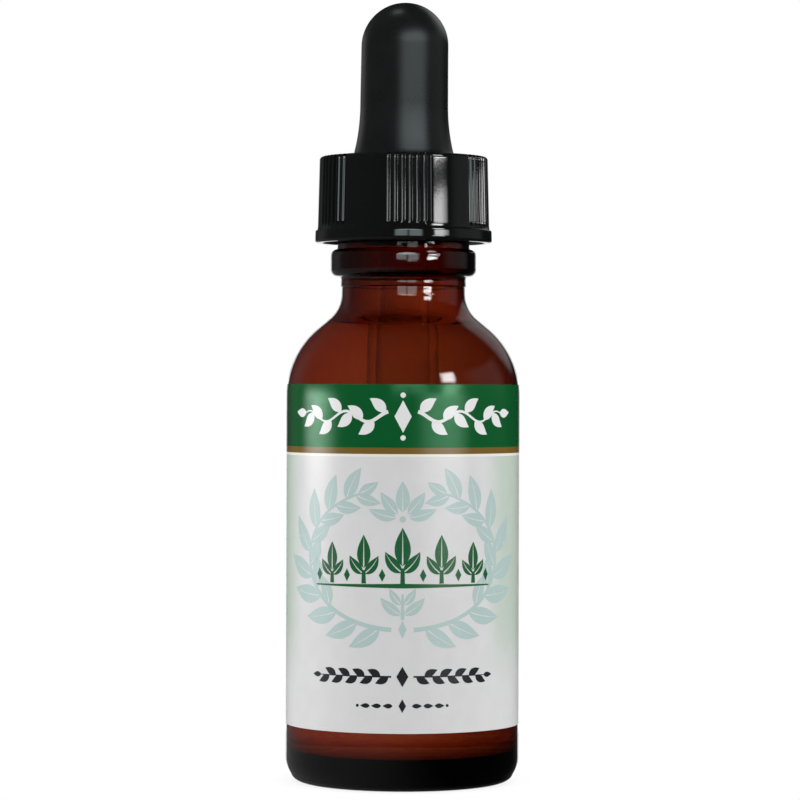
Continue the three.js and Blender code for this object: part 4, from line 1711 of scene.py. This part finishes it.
    def floor(self, shop: Workshop) -> None:
        """A pale round floor that fades into the white surroundings before its rim.

        Args:
            shop: The start of its material.
        """
        rings = outline(point(0.0, 0.0), point(self.floor_radius / MM, 0.0), step=4.0)
        grid = spun(rings, even_angles(self.floor_columns))
        index = np.arange(grid.shape[0] * self.floor_columns).reshape(-1, self.floor_columns)
        surface = Surface(grid.reshape(-1, 3), Surface.hoops(index[1:], index[:-1]))  # its face looks up
        material, nodes = shop.start("studio_floor")
        parts = nodes.object_parts()
        away = nodes.add("ShaderNodeCombineXYZ", X=parts["X"], Y=parts["Y"])
        far = nodes.add("ShaderNodeVectorMath", {"operation": "LENGTH"}, in_0=away.outputs[0])
        fade = nodes.ramp(far.outputs["Value"], 0.0, self.floor_fade * self.floor_radius)
        bounced = nodes.add("ShaderNodeLightPath").outputs["Is Diffuse Ray"]
        pale = nodes.add("ShaderNodeBsdfDiffuse", Color=nodes.mix(bounced, self.floor_grey, self.floor_bounce))
        clear = nodes.add("ShaderNodeBsdfTransparent")
        both = nodes.add("ShaderNodeMixShader", in_0=fade, in_1=pale.outputs[0], in_2=clear.outputs[0])
        nodes.add("ShaderNodeOutputMaterial", Surface=both.outputs[0])
        floor = surface.to_object("studio_floor", material)
        floor.visible_glossy = False

    def matt_light(self, nodes: Nodes, east: Socket, north: Socket, up: Socket) -> Socket:
        """What matt surfaces get from each way: most from above, more from both sides, less from behind.

        Args:
            nodes: The world's nodes.
            east: How far the way points to the right.
            north: How far it points away from the camera.
            up: How far it points up.

        Returns:
            The brightness.
        """
        right = nodes.math("MULTIPLY", nodes.ramp(east, *self.matt_right), nodes.ramp(north, *self.matt_front))
        return nodes.fold("ADD", nodes.ramp(east, *self.matt_left), right, nodes.ramp(up, *self.matt_up))

    def reflected(self, nodes: Nodes, east: Socket, north: Socket, up: Socket, spot: Socket) -> Socket:
        """What shiny surfaces reflect beside the panels: the brightest of a dim room and the patches in it.

        Args:
            nodes: The world's nodes.
            east: How far the way points to the right.
            north: How far it points away from the camera.
            up: How far it points up.
            spot: Cosine of its angle from rim_way.

        Returns:
            The brightness.
        """
        angle = nodes.math("ARCTAN2", east, nodes.math("MULTIPLY", north, -1.0))
        inside = nodes.math("MULTIPLY", nodes.band(angle, *self.right_turn), nodes.band(up, *self.right_up))
        return nodes.fold(
            "MAXIMUM",
            nodes.math("MULTIPLY", nodes.ramp(spot, *self.rim_spot), nodes.ramp(up, *self.rim_up)),
            nodes.ramp(north, *self.behind),
            nodes.ramp(east, *self.gloom),
            nodes.math("MULTIPLY", nodes.ramp(east, *self.back_left), nodes.ramp(north, *self.back_north)),
            nodes.math("MULTIPLY", nodes.ramp(east, *self.low_left), nodes.ramp(up, *self.low_up)),
            nodes.math("MULTIPLY", inside, self.right_gloom),
        )

    def surroundings(self) -> None:
        """A white backdrop behind the bottle, an even light on matt surfaces, and a dim room in reflections."""
        world = bpy.data.worlds.new("studio")
        bpy.context.scene.world = world
        world.use_nodes = True
        nodes = Nodes(world.node_tree)
        way = nodes.add("ShaderNodeTexCoord").outputs["Generated"]
        east, north, up = nodes.add("ShaderNodeSeparateXYZ", Vector=way).outputs
        spot = nodes.add("ShaderNodeVectorMath", {"operation": "DOT_PRODUCT"}, in_0=way, in_1=self.rim_way)
        through = nodes.ramp(north, *self.through_north)
        through = nodes.math("MULTIPLY", through, nodes.ramp(east, *self.through_east))
        bright = self.reflected(nodes, east, north, up, spot.outputs["Value"])
        ray = nodes.add("ShaderNodeLightPath").outputs
        bright = nodes.mix_value(ray["Is Diffuse Ray"], bright, self.matt_light(nodes, east, north, up))
        bright = nodes.mix_value(ray["Is Transmission Ray"], bright, through)
        bright = nodes.mix_value(ray["Is Camera Ray"], bright, self.backdrop)
        background = nodes.add("ShaderNodeBackground", Color=WHITE, Strength=bright)
        nodes.add("ShaderNodeOutputWorld", Surface=background.outputs[0])

    def view_settings(self) -> None:
        """Plain colours, and enough bounces for light to pass through glass, liquid and tube and back."""
        scene = bpy.context.scene
        scene.view_settings.view_transform = "Standard"
        scene.cycles.max_bounces = 32
        scene.cycles.transmission_bounces = 32
        scene.cycles.glossy_bounces = 12
        scene.cycles.diffuse_bounces = 4
        scene.cycles.transparent_max_bounces = 16
        scene.cycles.sample_clamp_indirect = 6.0

    def lights(self, bulb: bpy.types.Object, label: list[bpy.types.Object]) -> None:
        """The lit panels, each one linked to what it shines on.

        Args:
            bulb: The rubber bulb.
            label: The label's pieces.
        """
        targets = (
            (Target.REST, [bulb], "EXCLUDE"), (Target.BULB, [bulb], "INCLUDE"), (Target.LABEL, label, "INCLUDE")
        )
        linked = {}
        for target, pieces, state in targets:
            linked[target] = bpy.data.collections.new(f"light_{target.name.lower()}")
            for piece in pieces:
                linked[target].objects.link(piece)
            for entry in linked[target].collection_objects:
                entry.light_linking.link_state = state
        for box in self.boxes:
            box.build().light_linking.receiver_collection = linked[box.target]

    def build(self, shop: Workshop, bulb: bpy.types.Object, label: list[bpy.types.Object]) -> None:
        """Makes everything in the studio, round the finished bulb and label.

        Args:
            shop: The shared node groups.
            bulb: The rubber bulb.
            label: The label's pieces.
        """
        self.camera()
        self.floor(shop)
        self.lights(bulb, label)
        self.surroundings()
        self.view_settings()


# ---- Assembly ---------------------------------------------------------------------------------------------------

AMBER = GlassFinish("amber_glass", 1.5, (0.68, 0.36, 0.14), 1400.0, wave=0.15, wave_scale=180.0, smudge=0.03)
CLEAR = GlassFinish("clear_glass", 1.46, (0.86, 0.94, 0.90), 20.0, wave=0.05, wave_scale=260.0, smudge=0.01)
TINCTURE = GlassFinish("tincture", 1.45, (0.90, 0.72, 0.40), 14.0)
RUBBER = MouldedFinish(
    "black_rubber",
    colour=(0.0055, 0.0068, 0.0070), pale=(0.04, 0.042, 0.042), bloom=0.08,
    rough_low=0.26, rough_high=0.32, grain=7000.0, bump=0.000012,
)
PLASTIC = MouldedFinish(
    "black_plastic",
    colour=(0.0042, 0.0050, 0.0048), pale=(0.05, 0.05, 0.05), bloom=0.03,
    rough_low=0.035, rough_high=0.055, grain=3000.0, bump=0.0000012, broad=90.0, stretch=2.0, dust=0.02,
)


def place(piece: bpy.types.Object, body: str, slot: str, node: str | None = None) -> None:
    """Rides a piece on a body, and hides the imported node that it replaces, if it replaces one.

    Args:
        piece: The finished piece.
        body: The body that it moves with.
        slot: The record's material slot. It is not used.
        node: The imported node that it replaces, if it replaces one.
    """
    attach(piece, body)
    if node:
        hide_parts(node)
    log.info("%s rides on %s with %d vertices", piece.name, body, len(piece.data.vertices))


def build_label(label: Label, shop: Workshop) -> list[bpy.types.Object]:
    """Makes the paper sheet and its printed marks.

    Args:
        label: The label's sizes and marks.
        shop: The shared node groups.

    Returns:
        The sheet and the marks.
    """
    paper = LabelFinish(label.band_z, label.rule_z).material(shop)
    sheet = label.sheet().to_object("label_sheet", paper)
    glued = np.arange(len(sheet.data.vertices)) >= len(sheet.data.vertices) // 2
    sheet.data.attributes.new(BACKING, "FLOAT", "POINT").data.foreach_set("value", glued.astype(float))
    place(sheet, "bottle", "label_paper", "label")
    prints = (
        ("print_teal", Ink.TEAL, label.sprigs(), 0),
        ("print_green", Ink.GREEN, label.crest() + label.side_sprouts(), 1),
        ("print_white", Ink.WHITE, label.garland(), 0),
        ("print_grey", Ink.GREY, label.foot_rows() + label.side_panels(), 1),
    )
    pieces = [sheet]
    for name, ink, strokes, layer in prints:
        pieces.append(label.printed(strokes, layer).to_object(name, ink.value.material(shop)))
        place(pieces[-1], "bottle", "label_paper")
    return pieces


def main() -> None:
    """Builds the studio, then every piece of the bottle and its closure."""
    logging.basicConfig(level=logging.INFO, format="%(name)s: %(message)s")
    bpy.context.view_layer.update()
    shop = Workshop()
    bottle = GlassBottle(Reach.of("glass_bottle"))
    pipette = Pipette(Reach.of("glass_pipette"))
    contents = Contents(bottle, pipette, Reach.of("liquid").high)
    cap = ScrewCap(Reach.of("screw_cap"))
    bulb = Bulb(Reach.of("rubber_bulb"), cap.reach, bottle.reach.high)
    glass = bottle.surface().to_object("bottle_glass", AMBER.material(shop))
    place(glass, "bottle", "amber_glass", "glass_bottle")
    tincture = TINCTURE.material(shop)
    place(contents.body().to_object("bottle_liquid", tincture), "bottle", "liquid", "liquid")
    place(contents.column().to_object("pipette_liquid", tincture), "dropper", "liquid", "liquid_in_pipette")
    tube = pipette.surface().to_object("pipette_tube", CLEAR.material(shop))
    place(tube, "dropper", "clear_glass", "glass_pipette")
    rubber = bulb.surface().to_object("bulb_rubber", RUBBER.material(shop))
    place(rubber, "dropper", "black_rubber", "rubber_bulb")
    place(cap.surface().to_object("cap_moulding", PLASTIC.material(shop)), "cap", "black_plastic", "screw_cap")
    label = build_label(Label(Reach.of("label"), bottle), shop)
    Studio().build(shop, rubber, label)


if __name__ == "__main__":
    main()
